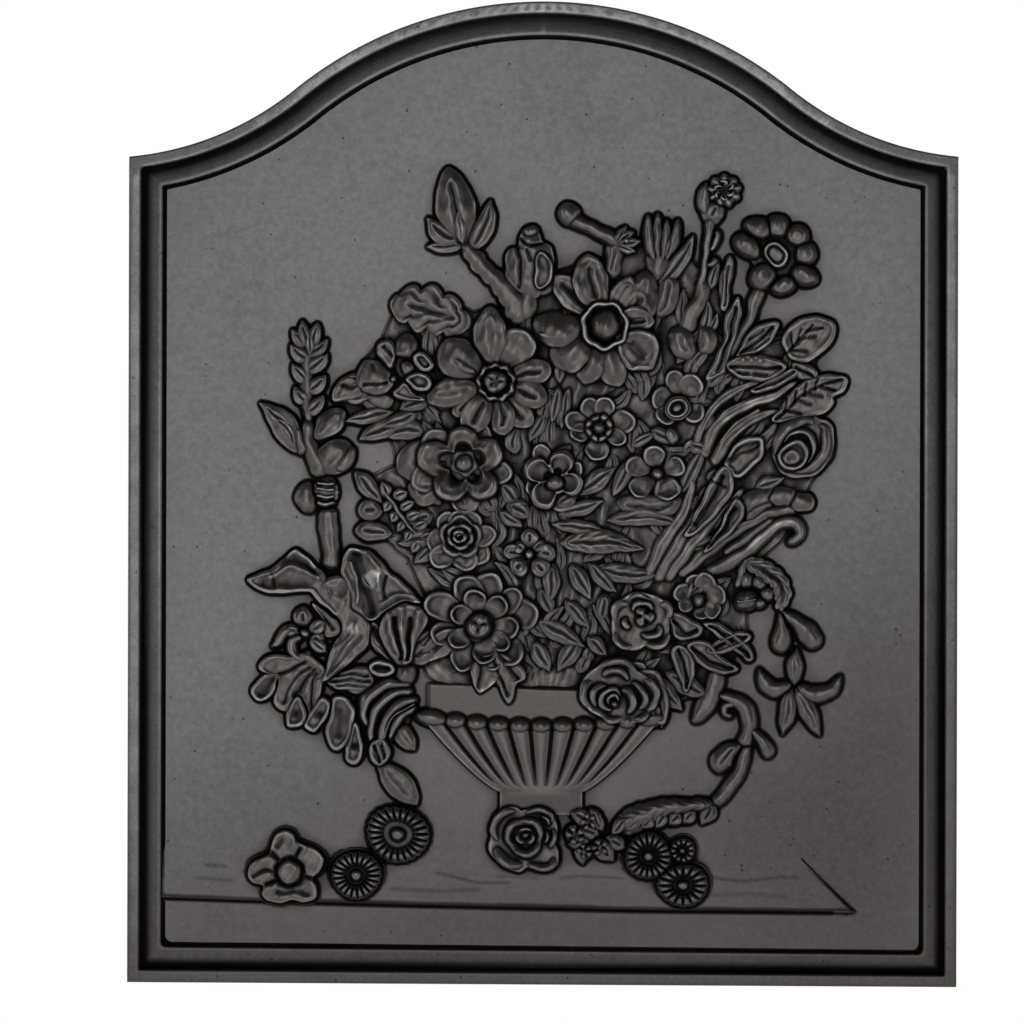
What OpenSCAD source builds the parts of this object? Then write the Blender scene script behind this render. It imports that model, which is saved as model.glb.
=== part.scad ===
// Cast fireback with an arched top: a board, mitred border mouldings, a table slab and an urn of
// flowers in low relief. Every form is drawn on the board lying down, X across, Y up the board and
// Z out of its face, and stand() turns it upright with the face towards -Y and the foot on Z = 0.

/* [Board] */
// Width of the board
plate_w = 508; // [490:1:560]
// Height of the board at the top of its arch
plate_h = 602; // [585:1:640]
// Height of the square shoulders
shoulder_h = 507; // [495:1:520]
// Thickness of the board behind the relief
plate_t = 9; // [6:0.5:14]
// Radius of the round top
crown_r = 242; // [230:1:255]
// Radius of the hollow sweeps that lead from the top to the shoulders
sweep_r = 188; // [170:1:200]

/* [Border] */
// Width of the flat outer rim
rim_w = 7; // [5:0.5:10]
// Height of the rim above the board
rim_h = 8; // [5:0.5:10]
// Width of the hollow moulding inside the rim
cove_w = 14; // [9:0.5:18]
// Height of the moulding at its inner edge
cove_h = 3; // [2:0.25:5]
// Height of the bottom of the hollow
cove_floor = 1.2; // [0.8:0.1:1.8]
// Bevel on the edges of the rim
rim_bevel = 0.8; // [0.3:0.1:1.5]
// Lean of the cast walls, so that the pattern leaves the sand
draft = 0.6; // [0.3:0.1:1.2]

/* [Table] */
// Height of the table's front edge above the foot
table_edge_y = 49; // [40:0.5:56]
// Depth of the table top as it is drawn
table_deep = 32; // [26:0.5:36]
// Step from the table top down to the board
table_rise = 1.6; // [0.8:0.1:2.4]
// Distance from the centre line to the table's right corner
table_right = 189; // [175:1:198]

/* [Urn] */
// Height of the urn's foot ring above the foot of the board
urn_y = 104; // [102:0.5:106]
// Width of the urn's foot
urn_foot_w = 52; // [46:1:60]
// Height of the plain foot
urn_foot_h = 14; // [11:0.5:16]
// Width of the bowl at its rim
urn_bowl_w = 148; // [136:1:156]
// Height of the fluted bowl
urn_bowl_h = 40; // [36:0.5:42]
// Number of flutes on the bowl
flutes = 11; // [9:1:13]
// How far the bowl stands out of the board
urn_rise = 6.5; // [5:0.25:8]
// Height of the beads on the rim
bead_h = 9; // [7:0.5:10]
// Number of round beads between the two long end beads
beads = 9; // [7:1:11]
// Width of the plain neck above the beads
neck_w = 142; // [130:1:146]
// Height of the plain neck
neck_h = 20; // [17:0.5:23]
// How far the neck stands out of the board
neck_rise = 2.4; // [1.6:0.2:3.6]

/* [Relief heights] */
// Thickness of leaf and petal edges
edge_t = 1.4; // [0.8:0.1:2]
// Height of leaves at their ridge
leaf_rise = 4; // [3:0.25:5]
// Height of stems
stem_rise = 4.6; // [3.5:0.25:6]
// Height of buds
bud_rise = 7; // [5.5:0.25:8.5]
// Height of the small blooms
small_rise = 8.5; // [7:0.25:10]
// Height of the large blooms, the highest forms on the board
large_rise = 12; // [10.5:0.25:15]

/* [Blooms] */
// Radius of the daffodil's trumpet
daffodil_eye = 12; // [9:0.5:14]
// Radius of the anemone's centre
anemone_eye = 9.5; // [7:0.5:11]
// Radius of the dahlia's button
dahlia_eye = 8; // [6:0.5:10]
// Radius of the rose beside the dahlia
upper_rose_r = 18; // [15:0.5:20]
// Radius of the rose on the urn's rim
lower_rose_r = 22; // [19:0.5:24]
// Radius of the rose at the urn's foot
foot_rose_r = 23; // [20:0.5:25]
// Radius of the top daisy, stem side to tip
top_daisy_r = 25; // [21:0.5:27]
// Radius of the left daisy by the urn's foot
left_daisy_r = 14; // [12:0.5:15]
// Radius of the right daisy by the urn's foot
right_daisy_r = 15.5; // [13:0.5:17]
// Radius of the lower fallen daisy
low_daisy_r = 16; // [13:0.5:17]
// Radius of the upper fallen daisy
high_daisy_r = 19; // [16:0.5:20]
// Petals round each small daisy
daisy_petals = 13; // [10:1:16]

/* [Hidden] */
iron = [0.36, 0.35, 0.35];

relief = max(large_rise, rim_h);
depth = plate_t + relief;
half_w = plate_w / 2;
border_w = rim_w + cove_w;
arc_fn = 180;

// Centres of the round top and of the hollow sweep: the sweep meets the top tangentially
// and passes through the shoulder corner, so its centre is where two circles cross.
shoulder = [half_w, shoulder_h];
crown_mid = [0, plate_h - crown_r];
reach = norm(shoulder - crown_mid);
along = (shoulder - crown_mid) / reach;
span = crown_r + sweep_r;
foot_of = (span * span - sweep_r * sweep_r + reach * reach) / (2 * reach);
off = sqrt(span * span - foot_of * foot_of);
sweep_mid = crown_mid + foot_of * along + off * [-along.y, along.x];
turn_to = (sweep_mid - crown_mid) / span;
crown_half = atan2(turn_to.x, turn_to.y);
function inner_corner(inset) = [half_w - inset,
    sweep_mid.y - sqrt(pow(sweep_r + inset, 2) - pow(sweep_mid.x - half_w + inset, 2))];

// The flowers are drawn for a plate, bowl and rim of these sizes. On another plate fit() moves
// them along: inside the bowl's width and under its rim they follow the urn, and beyond those they
// share out what is left up to the plate's edges. Leaves and stems stretch with it point by point
// and petals as grown() says at their bloom, so what meets still meets. Round hearts take the
// smallest of the factors.
drawn_plate = [508, 602];
drawn_urn = [148, 158];
foot_top = urn_y + urn_foot_h;
rim_y = foot_top + urn_bowl_h;
inner_x = urn_bowl_w / drawn_urn.x;
inner_y = rim_y / drawn_urn.y;
outer_x = (plate_w - urn_bowl_w) / (drawn_plate.x - drawn_urn.x);
outer_y = (plate_h - rim_y) / (drawn_plate.y - drawn_urn.y);
even = min(inner_x, inner_y, outer_x, outer_y);
function fit_x(x) = sign(x) * (min(abs(x), drawn_urn.x / 2) * inner_x
    + max(abs(x) - drawn_urn.x / 2, 0) * outer_x);
function fit_y(y) = min(y, drawn_urn.y) * inner_y + max(y - drawn_urn.y, 0) * outer_y;
function fit(p) = [fit_x(p.x), fit_y(p.y)];
function grown(p) = [abs(p.x) < drawn_urn.x / 2 ? inner_x : outer_x, p.y < drawn_urn.y ? inner_y : outer_y];

// Places on the board, from the centre line and the foot
daffodil_at = [38, 403];
anemone_at = [-28, 370];
star_bloom_at = [-48, 318];
dahlia_at = [-38, 219];
upper_rose_at = [62, 225];
lower_rose_at = [43.5, 175];
wild_rose_at = [-82, 378];
primrose_at = [35, 341];
periwinkle_at = [7.5, 311];
violet_at = [70.5, 313];
rosette_at = [84, 357];
small_rose_at = [-50, 274];
small_lily_at = [-7.5, 263.5];
half_bloom_at = [97, 234];
top_daisy_at = [143.5, 447];
poppy_at = [159, 331];
left_star_at = [-145, 215];
star_lily_at = [154, 185];
foot_rose_at = [-9, 90];
left_daisy_at = [67, 78.5];
right_daisy_at = [87, 61];
fallen_at = [-155, 71];
low_daisy_at = [-113.5, 68];
high_daisy_at = [-86.5, 92.5];

// Petals of each bloom as [direction, length]
daffodil_petals = [[180, 42], [215, 38], [250, 39], [283, 38], [325, 36], [12, 33], [55, 32],
    [100, 37], [140, 34]];
anemone_petals = [[98, 45], [142, 41], [189, 41], [231, 35], [266, 34], [302, 34], [0, 33], [52, 34]];
star_petals = [[99, 24], [169, 28], [237, 24], [310, 25], [22, 24]];
dahlia_petals = [[112, 34], [70, 36], [155, 38], [198, 33], [24, 35], [340, 32], [245, 30], [292, 31]];
wild_rose_petals = [[97, 21], [142, 23], [192, 27], [16, 16], [305, 17], [245, 18]];
primrose_petals = [[117, 20], [159, 21], [199, 17], [262, 17], [331, 17], [30, 19], [72, 18]];
periwinkle_petals = [[114, 22], [65, 18], [165, 19], [245, 15], [352, 16], [300, 15]];
violet_petals = [[94, 15], [157, 19], [221, 18], [303, 17], [27, 17]];
rosette_petals = [[45, 18], [103, 18], [159, 17], [210, 15], [265, 15], [330, 16]];
small_rose_petals = [[232, 24], [280, 20], [330, 21], [20, 21], [75, 17], [130, 18], [185, 20]];
small_lily_petals = [[93, 15], [356, 15], [178, 15], [232, 14], [290, 14], [45, 11], [135, 11]];
half_bloom_petals = [[60, 16], [15, 16], [100, 15], [145, 15], [325, 14], [275, 11], [195, 12]];
left_star_petals = [[88, 15], [200, 15], [250, 12], [340, 12], [300, 12], [30, 10], [140, 10]];
fallen_petals = [[105, 24], [38, 22], [175, 22], [310, 22], [245, 21]];

// ---- shapes that repeat ----

module stand() {
    translate([0, depth / 2 - plate_t, 0]) rotate([90, 0, 0]) children();
}

// Half outline of a leaf: it swells as a sine, and belly moves its widest place towards the stalk
// (under 1) or the tip (over 1).
function leaf_side(long, wide, belly, i, steps) =
    [long * i / steps, wide / 2 * pow(sin(180 * pow(i / steps, belly)), 0.75)];

function leaf_outline(long, wide, belly, steps) = concat(
    [for (i = [0 : steps]) leaf_side(long, wide, belly, i, steps)],
    [for (i = [steps - 1 : -1 : 1]) let (p = leaf_side(long, wide, belly, i, steps)) [p.x, -p.y]]);

// The outline laid from its stalk to its tip
function laid(from, to, wide, belly) =
    let (long = norm(to - from), ahead = (to - from) / long, side = [-ahead.y, ahead.x])
    [for (p = leaf_outline(long, wide, belly, wide > 14 ? 4 : 3)) from + p.x * ahead + p.y * side];

// A skin over a leaf's outline, with a ridge along the middle
module leaf_skin(outline, edge, ridge_from, ridge_to, rise) {
    run = ridge_to - ridge_from;
    hull() {
        linear_extrude(edge) polygon(outline);
        translate([ridge_from.x, ridge_from.y, 0]) rotate(atan2(run.y, run.x)) rotate([90, 0, 90])
            linear_extrude(norm(run)) polygon([[-0.3, 0], [0.3, 0], [0, rise]]);
    }
}

// A leaf in its drawn place; wide ones have an upright edge
module leaf(from, to, wide, rise = leaf_rise, belly = 0.8) {
    edge = wide > 11.5 ? edge_t : 0.05;
    outline = [for (p = laid(from, to, wide, belly)) fit(p)];
    leaf_skin(outline, edge, fit(from + 0.12 * (to - from)), fit(from + 0.84 * (to - from)), rise);
}

// A leaf in a place of its own on the urn
module leaf_between(from, to, wide, rise, belly = 0.8) {
    run = to - from;
    leaf_skin(laid(from, to, wide, belly), 0.05, from + 0.12 * run, from + 0.84 * run, rise);
}

// A stem or a curled petal through points, with its own width at each: one skin whose section is
// a low ridge with sloping sides
module strand(path, wide, rise = stem_rise) {
    last = len(path) - 1;
    function across(i) = let (d = path[min(i + 1, last)] - path[max(i - 1, 0)]) [-d.y, d.x] / norm(d);
    section = [[-0.5, 0], [-0.24, rise], [0.24, rise], [0.5, 0]];
    points = [for (i = [0 : last]) for (q = section)
        let (at = fit(path[i] + wide[i] * q[0] * across(i))) [at.x, at.y, q[1]]];
    polyhedron(points = points, faces = concat(
        [[3, 2, 1, 0], [for (k = [0 : 3]) 4 * last + k]],
        [for (i = [0 : last - 1]) for (k = [0 : 3]) let (n = (k + 1) % 4)
            [4 * i + k, 4 * i + n, 4 * (i + 1) + n]],
        [for (i = [0 : last - 1]) for (k = [0 : 3]) let (n = (k + 1) % 4)
            [4 * i + k, 4 * (i + 1) + n, 4 * (i + 1) + k]]));
}

// Children stretched about a drawn place and moved there
module place(drawn_at, by) {
    at = fit(drawn_at);
    translate([at.x, at.y, 0]) scale([by.x, by.y, 1]) children();
}

module knob(drawn_at, wide, rise) {
    place(drawn_at, grown(drawn_at)) cylinder(h = rise, d1 = wide, d2 = wide * 0.6, $fn = 8);
}

// A petal that leaves the middle low and lifts to a round lip
module petal(long, wide, low, high) {
    hull() {
        translate([0.24 * long, 0, 0]) cylinder(h = low, d = 0.5 * wide, $fn = 3);
        translate([0.7 * long, 0, 0]) scale([0.3 * long, 0.54 * wide, 1])
            cylinder(h = high, r1 = 1, r2 = 0.72, $fn = 6);
    }
}

// A bloom: cupped petals round a button, each petal as wide as the gap to the next allows
module bloom(drawn_at, petals, eye, rise, fat = 1) {
    share = 360 / len(petals);
    place(drawn_at, grown(drawn_at))
        for (p = petals)
            rotate(p[0]) petal(p[1], fat * 1.25 * p[1] * sin(share / 2) + 2, rise * 0.45, rise * 0.72);
    place(drawn_at, [1, 1]) cylinder(h = rise, r1 = eye, r2 = 0.7 * eye, $fn = 10);
}

// A rose: two rings of petals, the inner one higher and tighter, round a small hollow heart
module rose(drawn_at, r, rise, turn = 0) {
    at = fit(drawn_at);
    translate([at.x, at.y, 0]) rotate(turn) {
        for (i = [0 : 4]) rotate(72 * i) petal(r, 1.15 * r, rise * 0.4, rise * 0.62);
        for (i = [0 : 3]) rotate(90 * i + 30) petal(0.72 * r, 0.9 * r, rise * 0.6, rise * 0.84);
        difference() {
            cylinder(h = rise, r1 = 0.44 * r, r2 = 0.36 * r, $fn = 8);
            translate([0, 0, rise * 0.8]) cylinder(h = rise, r = 0.22 * r, $fn = 6);
        }
    }
}

// A daisy in one skin: rings of points from the button out over the sunk disc and the petals,
// with every other point drawn down and in between two petals
module daisy(drawn_at, r, rise, petals = daisy_petals) {
    at = fit(drawn_at);
    count = 2 * petals;
    rings = [[0.22, 1, 0], [0.32, 0.5, 0], [0.74, 0.9, 0.22], [1, 0, 0]];
    function rim(ring, i) = let (cut = i % 2, far = r * (ring[0] - (ring[0] > 0.9 ? 0.08 * cut : 0)))
        [far * cos(360 * i / count), far * sin(360 * i / count), rise * (ring[1] - ring[2] * cut)];
    last = len(rings) - 1;
    translate([at.x, at.y, 0]) polyhedron(
        points = [for (ring = rings) for (i = [0 : count - 1]) rim(ring, i)],
        faces = concat(
            [[for (i = [count - 1 : -1 : 0]) i]],
            [for (k = [0 : last - 1]) for (i = [0 : count - 1]) let (n = (i + 1) % count)
                [k * count + i, k * count + n, (k + 1) * count + n]],
            [for (k = [0 : last - 1]) for (i = [0 : count - 1]) let (n = (i + 1) % count)
                [k * count + i, (k + 1) * count + n, (k + 1) * count + i]],
            [[for (i = [0 : count - 1]) last * count + i]]));
}

module board_outline() {
    joint_y = crown_mid.y + crown_r * turn_to.y;
    difference() {
        translate([-half_w, 0]) square([plate_w, joint_y]);
        for (side = [-1, 1]) translate([side * sweep_mid.x, sweep_mid.y]) circle(sweep_r, $fn = arc_fn);
    }
    intersection() {
        translate(crown_mid) circle(crown_r, $fn = arc_fn);
        translate([-crown_r, joint_y]) square([2 * crown_r, plate_h - joint_y + 1]);
    }
}

// Section of the border: inset from the board's edge, height above its face
cove_start = rim_w + 2 * draft;
cove_end = border_w - draft;
cove_steps = 5;
function cove_point(i) = let (t = i / cove_steps)
    [cove_start + t * (cove_end - cove_start), cove_floor + (cove_h - cove_floor) * pow(t, 1.5)];
border_section = concat(
    [[0, 0], [draft, rim_h - rim_bevel], [draft + rim_bevel, rim_h], [rim_w - rim_bevel, rim_h],
        [rim_w, rim_h - rim_bevel]],
    [for (i = [0 : cove_steps]) cove_point(i)],
    [[border_w, 0]]);

// The two mitres: the lower one is at 45 degrees, the upper one halves the shoulder corner
low_in = [half_w - border_w, border_w];
top_in = inner_corner(border_w);

module border_side() {
    intersection() {
        translate([half_w, shoulder_h + 1, 0]) rotate([90, 0, 0]) linear_extrude(shoulder_h + 1)
            mirror([1, 0]) polygon(border_section);
        linear_extrude(rim_h + 1) polygon([[half_w, 0], shoulder, top_in, low_in]);
    }
}

module arc_run(mid, r, inward, from, sweep) {
    translate([mid.x, mid.y, 0]) rotate(from) rotate_extrude(angle = sweep, $fn = arc_fn)
        polygon([for (p = border_section) [r + inward * p.x, p.y]]);
}

// ---- the blooms that lie on top, and what is cut to seat against them ----

module daffodil_form() {
    bloom(daffodil_at, daffodil_petals, daffodil_eye, large_rise, 1.2);
}
module anemone_form() {
    bloom(anemone_at, anemone_petals, anemone_eye, large_rise * 0.92, 1.1);
}
module star_form() {
    bloom(star_bloom_at, star_petals, 7 * even, small_rise * 1.1);
}
module dahlia_form() {
    bloom(dahlia_at, dahlia_petals, dahlia_eye * 1.5, large_rise * 0.8, 1.15);
    daisy(dahlia_at, 2.8 * dahlia_eye, large_rise, 8);
    leaf(dahlia_at + [4, -18], dahlia_at + [17, -47], 16, bud_rise);
    leaf(dahlia_at + [3, -18], dahlia_at + [0, -40], 11, bud_rise * 0.8);
}
module upper_rose_form() {
    rose(upper_rose_at, upper_rose_r, large_rise * 0.9, 20);
}
module lower_rose_form() {
    rose(lower_rose_at, lower_rose_r, large_rise, 50);
}
module wild_rose_form() {
    bloom(wild_rose_at, wild_rose_petals, 4.5 * even, small_rise);
}
module primrose_form() {
    bloom(primrose_at, primrose_petals, 5.5 * even, small_rise);
}
module periwinkle_form() {
    bloom(periwinkle_at, periwinkle_petals, 6 * even, small_rise);
}
module violet_form() {
    bloom(violet_at, violet_petals, 4 * even, small_rise);
}
module rosette_form() {
    bloom(rosette_at, rosette_petals, 6 * even, small_rise);
}
module small_rose_form() {
    bloom(small_rose_at, small_rose_petals, 8 * even, small_rise);
}
module small_lily_form() {
    bloom(small_lily_at, small_lily_petals, 3 * even, small_rise * 0.9, 0.9);
}
module half_bloom_form() {
    bloom(half_bloom_at, half_bloom_petals, 4 * even, small_rise * 0.9);
}

// Everything in the top layer, with the gaps between petals closed so that no chip stays in them
module top_layer() {
    daffodil_form();
    anemone_form();
    star_form();
    dahlia_form();
    upper_rose_form();
    lower_rose_form();
    wild_rose_form();
    primrose_form();
    periwinkle_form();
    violet_form();
    rosette_form();
    small_rose_form();
    small_lily_form();
    half_bloom_form();
    closed = [[daffodil_at, 30], [anemone_at, 29], [star_bloom_at, 18], [dahlia_at, 27], [wild_rose_at, 13],
        [primrose_at, 14], [periwinkle_at, 12], [violet_at, 12], [rosette_at, 12], [small_rose_at, 15],
        [small_lily_at, 9], [half_bloom_at, 10]];
    for (c = closed) gap(c[0], c[1], grown(c[0]));
    gap(upper_rose_at, 0.8 * upper_rose_r, [1, 1]);
    gap(lower_rose_at, 0.8 * lower_rose_r, [1, 1]);
}

// A space kept clear for a flower
module gap(drawn_at, r, by) {
    place(drawn_at, by) translate([0, 0, -1]) cylinder(h = relief + 2, r = r, $fn = 16);
}

module under_top() {
    difference() {
        children();
        translate([0, 0, -1]) scale([1, 1, 3]) top_layer();
    }
}

// ---- board, border, table ----

module back_plate() {
    color(iron) stand() translate([0, 0, -plate_t]) linear_extrude(plate_t) board_outline();
}

module border_right() {
    color(iron) stand() border_side();
}

module border_left() {
    color(iron) stand() mirror([1, 0, 0]) border_side();
}

module border_foot() {
    color(iron) stand() intersection() {
        translate([-half_w, 0, 0]) rotate([90, 0, 90]) linear_extrude(plate_w) polygon(border_section);
        linear_extrude(rim_h + 1) polygon([[-half_w, 0], [half_w, 0], low_in, [-low_in.x, low_in.y]]);
    }
}

module border_arch() {
    to_shoulder = atan2(shoulder_h - sweep_mid.y, half_w - sweep_mid.x);
    to_crown = atan2(-turn_to.y, -turn_to.x);
    color(iron) stand() {
        arc_run(crown_mid, crown_r, -1, 90 - crown_half, 2 * crown_half);
        for (side = [0, 1]) mirror([side, 0, 0]) intersection() {
            arc_run(sweep_mid, sweep_r, 1, to_crown, to_shoulder - to_crown);
            linear_extrude(rim_h + 1) polygon([[0, top_in.y], top_in, shoulder, [half_w, plate_h], [0, plate_h]]);
        }
    }
}

module table_slab() {
    left = -half_w + border_w;
    right = table_right;
    low = table_edge_y;
    back_y = low + table_deep;
    hull() {
        linear_extrude(table_rise)
            polygon([[left, low + 1], [left, low + 4], [right - 6, low + 1], [right - 4, low - 2]]);
        linear_extrude(0.3)
            polygon([[left, low], [left, back_y], [right - table_deep, back_y], [right, low - 3]]);
    }
}

module table_top() {
    color(iron) stand() difference() {
        table_slab();
        translate([0, 0, -1]) scale([1, 1, 3]) {
            fallen_form();
            foot_rose_form();
        }
        for (d = [[low_daisy_at, low_daisy_r], [high_daisy_at, high_daisy_r], [left_daisy_at, left_daisy_r],
            [right_daisy_at, right_daisy_r]])
            translate(concat(fit(d[0]), -1)) cylinder(h = relief, r = d[1], $fn = daisy_petals);
    }
}

// ---- the urn ----

waist_w = urn_foot_w - 2;
// The rim is the front of a round bowl, so it sags a little in the middle
function rim_at(t) = [urn_bowl_w / 2 * t, rim_y + 6 * t * t];

// The band on which the beads lie, from side to side of the bowl
module rim_band(reach) {
    stops = reach * [-1, -0.6, -0.2, 0.2, 0.6, 1];
    polygon(concat(
        [for (t = stops) rim_at(t) + [0, bead_h / 2]],
        [for (k = [len(stops) - 1 : -1 : 0]) rim_at(stops[k]) - [0, bead_h / 2]]));
}

module rim_channel() {
    translate([0, 0, -1]) linear_extrude(relief + 2) rim_band(1);
}

module urn_neck() {
    base = rim_at(0).y;
    color(iron) stand() under_top() difference() {
        hull() {
            translate([-neck_w / 2, base, 0]) cube([neck_w, neck_h + bead_h / 2, neck_rise * 0.6]);
            translate([-neck_w / 2 + 1, base, 0]) cube([neck_w - 2, neck_h + bead_h / 2 - 1, neck_rise]);
        }
        rim_channel();
        translate([-neck_w, base - neck_h, -1]) cube([2 * neck_w, neck_h, relief]);
    }
}

module beads_form() {
    pitch = urn_bowl_w * 0.8 / beads;
    linear_extrude(edge_t * 0.8) rim_band(0.85);
    for (i = [0 : beads - 1]) {
        x = (i - (beads - 1) / 2) * pitch;
        at = rim_at(2 * x / urn_bowl_w);
        translate([at.x, at.y, 0])
            cylinder(h = urn_rise + 1.6, d1 = 1.03 * pitch, d2 = 0.55 * pitch, $fn = 8);
    }
    for (side = [-1, 1]) {
        at = rim_at(side * 0.91);
        leaf_between(at - side * [0.05 * urn_bowl_w, 1.5], at + side * [0.0575 * urn_bowl_w, 1],
            bead_h, urn_rise + 0.6);
    }
}

module urn_beads() {
    color(iron) stand() under_top() beads_form();
}

// One skin over all the flutes: columns of points that rise to a crest and drop to a groove, in
// rows from the waist up to the rim, closed by a flat back and a lower lip on each side
module flute_skin() {
    count = 4 * flutes;
    heights = [0.35, 0.85, 1, 0.85];
    rows = [0, 0.18, 0.5, 1];
    function spread(v) = waist_w / 2 + (urn_bowl_w * 0.48 - waist_w / 2) * pow(v, 0.66);
    function skin(v, i) = let (t = 2 * i / count - 1)
        [t * spread(v), foot_top + v * (rim_at(t).y - foot_top), urn_rise * heights[i % 4]];
    wide = count + 1;
    front = [for (v = rows) for (i = [0 : count]) skin(v, i)];
    back = [for (p = front) [p.x, p.y, 0]];
    all = len(front);
    last = len(rows) - 1;
    polyhedron(points = concat(front, back), faces = concat(
        [for (k = [0 : last - 1]) for (i = [0 : count - 1]) let (a = k * wide + i)
            [a, a + wide, a + wide + 1, a + 1]],
        [for (i = [0 : count - 1]) [i, i + 1, all + i + 1, all + i]],
        [for (i = [0 : count - 1]) let (a = last * wide + i) [a + 1, a, all + a, all + a + 1]],
        [for (k = [0 : last - 1]) let (a = k * wide) [a + wide, a, all + a, all + a + wide]],
        [for (k = [0 : last - 1]) let (a = k * wide + count) [a, a + wide, all + a + wide, all + a]],
        [concat([for (i = [0 : count]) all + i],
            [for (k = [1 : last - 1]) all + k * wide + count],
            [for (i = [count : -1 : 0]) all + last * wide + i],
            [for (k = [last - 1 : -1 : 1]) all + k * wide])]));
}

module urn_bowl() {
    color(iron) stand() under_top() difference() {
        flute_skin();
        rim_channel();
    }
}

module urn_foot() {
    color(iron) stand() difference() {
        hull() {
            translate([-waist_w / 2, foot_top - 2, 0]) cube([waist_w, 2, urn_rise * 0.7]);
            translate([-urn_foot_w / 2, urn_y, 0]) cube([urn_foot_w, 2, urn_rise * 0.7]);
            translate([-waist_w / 2 + 6, urn_y + 3, 0]) cube([waist_w - 12, urn_foot_h - 4, urn_rise * 0.85]);
        }
        translate([0, 0, -1]) scale([1, 1, 3]) {
            foot_rose_form();
            garland_form();
        }
    }
}

// ---- blooms ----

module daffodil() {
    color(iron) stand() daffodil_form();
}

module anemone() {
    color(iron) stand() difference() {
        anemone_form();
        daffodil_form();
    }
}

module star_bloom() {
    color(iron) stand() difference() {
        star_form();
        anemone_form();
    }
}

module dahlia() {
    color(iron) stand() dahlia_form();
}

module upper_rose() {
    color(iron) stand() upper_rose_form();
}

module lower_rose() {
    color(iron) stand() lower_rose_form();
}

module wild_rose() {
    color(iron) stand() difference() {
        wild_rose_form();
        anemone_form();
    }
}

module primrose() {
    color(iron) stand() difference() {
        primrose_form();
        daffodil_form();
    }
}

module periwinkle() {
    color(iron) stand() difference() {
        periwinkle_form();
        primrose_form();
    }
}

module violet() {
    color(iron) stand() violet_form();
}

module rosette() {
    color(iron) stand() rosette_form();
}

module small_rose() {
    color(iron) stand() difference() {
        small_rose_form();
        dahlia_form();
        star_form();
    }
}

module small_lily() {
    color(iron) stand() difference() {
        small_lily_form();
        dahlia_form();
        small_rose_form();
    }
}

module half_bloom() {
    color(iron) stand() difference() {
        half_bloom_form();
        upper_rose_form();
    }
}

// ---- buds and single flowers ----

module leaf_bud() {
    top = [-49, 456];
    color(iron) stand() under_top() {
        leaf(top + [0, -2], [-57.5, 499], 23, bud_rise);
        leaf(top + [4, -3], [-31.5, 480], 14, bud_rise * 0.9);
        leaf(top + [-2, 0], [-71, 470], 12, bud_rise * 0.8);
        leaf(top + [0, -3], [-71, 451], 7, bud_rise * 0.7);
        strand([top + [0, 4], [-42, 447], [-35, 438], [-26, 429], [-17, 416], [-13, 407]],
            [6, 7, 8, 9, 11, 13]);
        knob([-38.5, 427], 6, stem_rise);
    }
}

module rose_bud() {
    at = [-8.5, 443];
    color(iron) stand() under_top() {
        strand([at + [0, -10], at + [-1, -30]], [16, 10]);
        leaf(at + [-2, -14], at + [-15, 12], 15, bud_rise * 0.8);
        leaf(at + [3, -14], at + [15, 10], 15, bud_rise * 0.8);
        leaf(at + [0, -14], at + [-3, 19], 15, bud_rise);
        leaf(at + [2, -12], at + [8, 14], 12, bud_rise * 0.9);
        leaf(at + [-6, -16], at + [-16, -4], 8);
        leaf(at + [6, -17], at + [14, -4], 8);
        knob(at + [0, 18], 9, bud_rise);
    }
}

module carnation_bud() {
    color(iron) stand() under_top() {
        strand([[16, 472], [24, 466], [33, 462], [42, 457]], [10, 7, 7.5, 11], bud_rise * 0.8);
        knob([16, 472], 11.5, bud_rise);
        leaf([41, 456], [59, 456], 11, bud_rise);
        leaf([42, 458], [56, 463], 8, bud_rise * 0.8);
        leaf([42, 454], [57, 447], 9, bud_rise * 0.9);
        leaf([42, 452], [50, 440], 9, bud_rise * 0.8);
        strand([[43, 452], [43, 440], [46, 428]], [10, 9, 11]);
    }
}

module tulip_form() {
    base = [72, 444];
    for (x = [-7, -2, 3.5, 9])
        leaf(base + [x * 0.4, 0], base + [x, 27], 8.5, bud_rise - abs(x) * 0.12, 1.1);
    strand([base + [0, 6], base, base + [-2, -12]], [20, 16, 9], bud_rise * 0.75);
}

module tulip_bud() {
    color(iron) stand() under_top() tulip_form();
}

module bulb_bud() {
    color(iron) stand() under_top() difference() {
        union() {
            leaf([60, 412], [69, 437], 17, bud_rise);
            leaf([66, 408], [78, 434], 15, bud_rise * 0.85);
            leaf([70, 426], [92, 459], 9, bud_rise * 0.8);
            leaf([83, 398], [86, 382], 13, bud_rise * 0.8);
            leaf([92, 404], [101, 386], 15, bud_rise);
            leaf([88, 404], [86, 388], 14, bud_rise * 0.9);
            strand([[98, 433], [94, 415], [90, 400]], [8, 11, 13], bud_rise * 0.8);
            leaf([74, 412], [92, 420], 12, bud_rise * 0.7);
        }
        translate([0, 0, -1]) scale([1, 1, 3]) tulip_form();
    }
}

module thistle() {
    head = [111, 486];
    color(iron) stand() under_top() {
        daisy(head, 9.5 * even, bud_rise, 6);
        leaf(head + [-5, -8], head + [-11, 2], 7);
        leaf(head + [-7, -20], head + [-4, -2], 10, bud_rise * 0.8);
        strand([head + [-7, -12], [102.5, 469], [100, 450], [98, 433]], [9, 6, 5, 6]);
        knob([107, 458], 6, stem_rise);
        knob([106.5, 445], 5, stem_rise);
        leaf([112, 445], [111, 418], 6);
    }
}

module top_daisy() {
    color(iron) stand() under_top() {
        daisy(top_daisy_at, top_daisy_r, small_rise, 9);
        strand([[138, 437], [133, 427], [129, 418], [126, 405], [118, 392]], [5, 7, 6, 6.5, 8]);
        leaf([131, 428], [139, 433], 6);
    }
}

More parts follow.
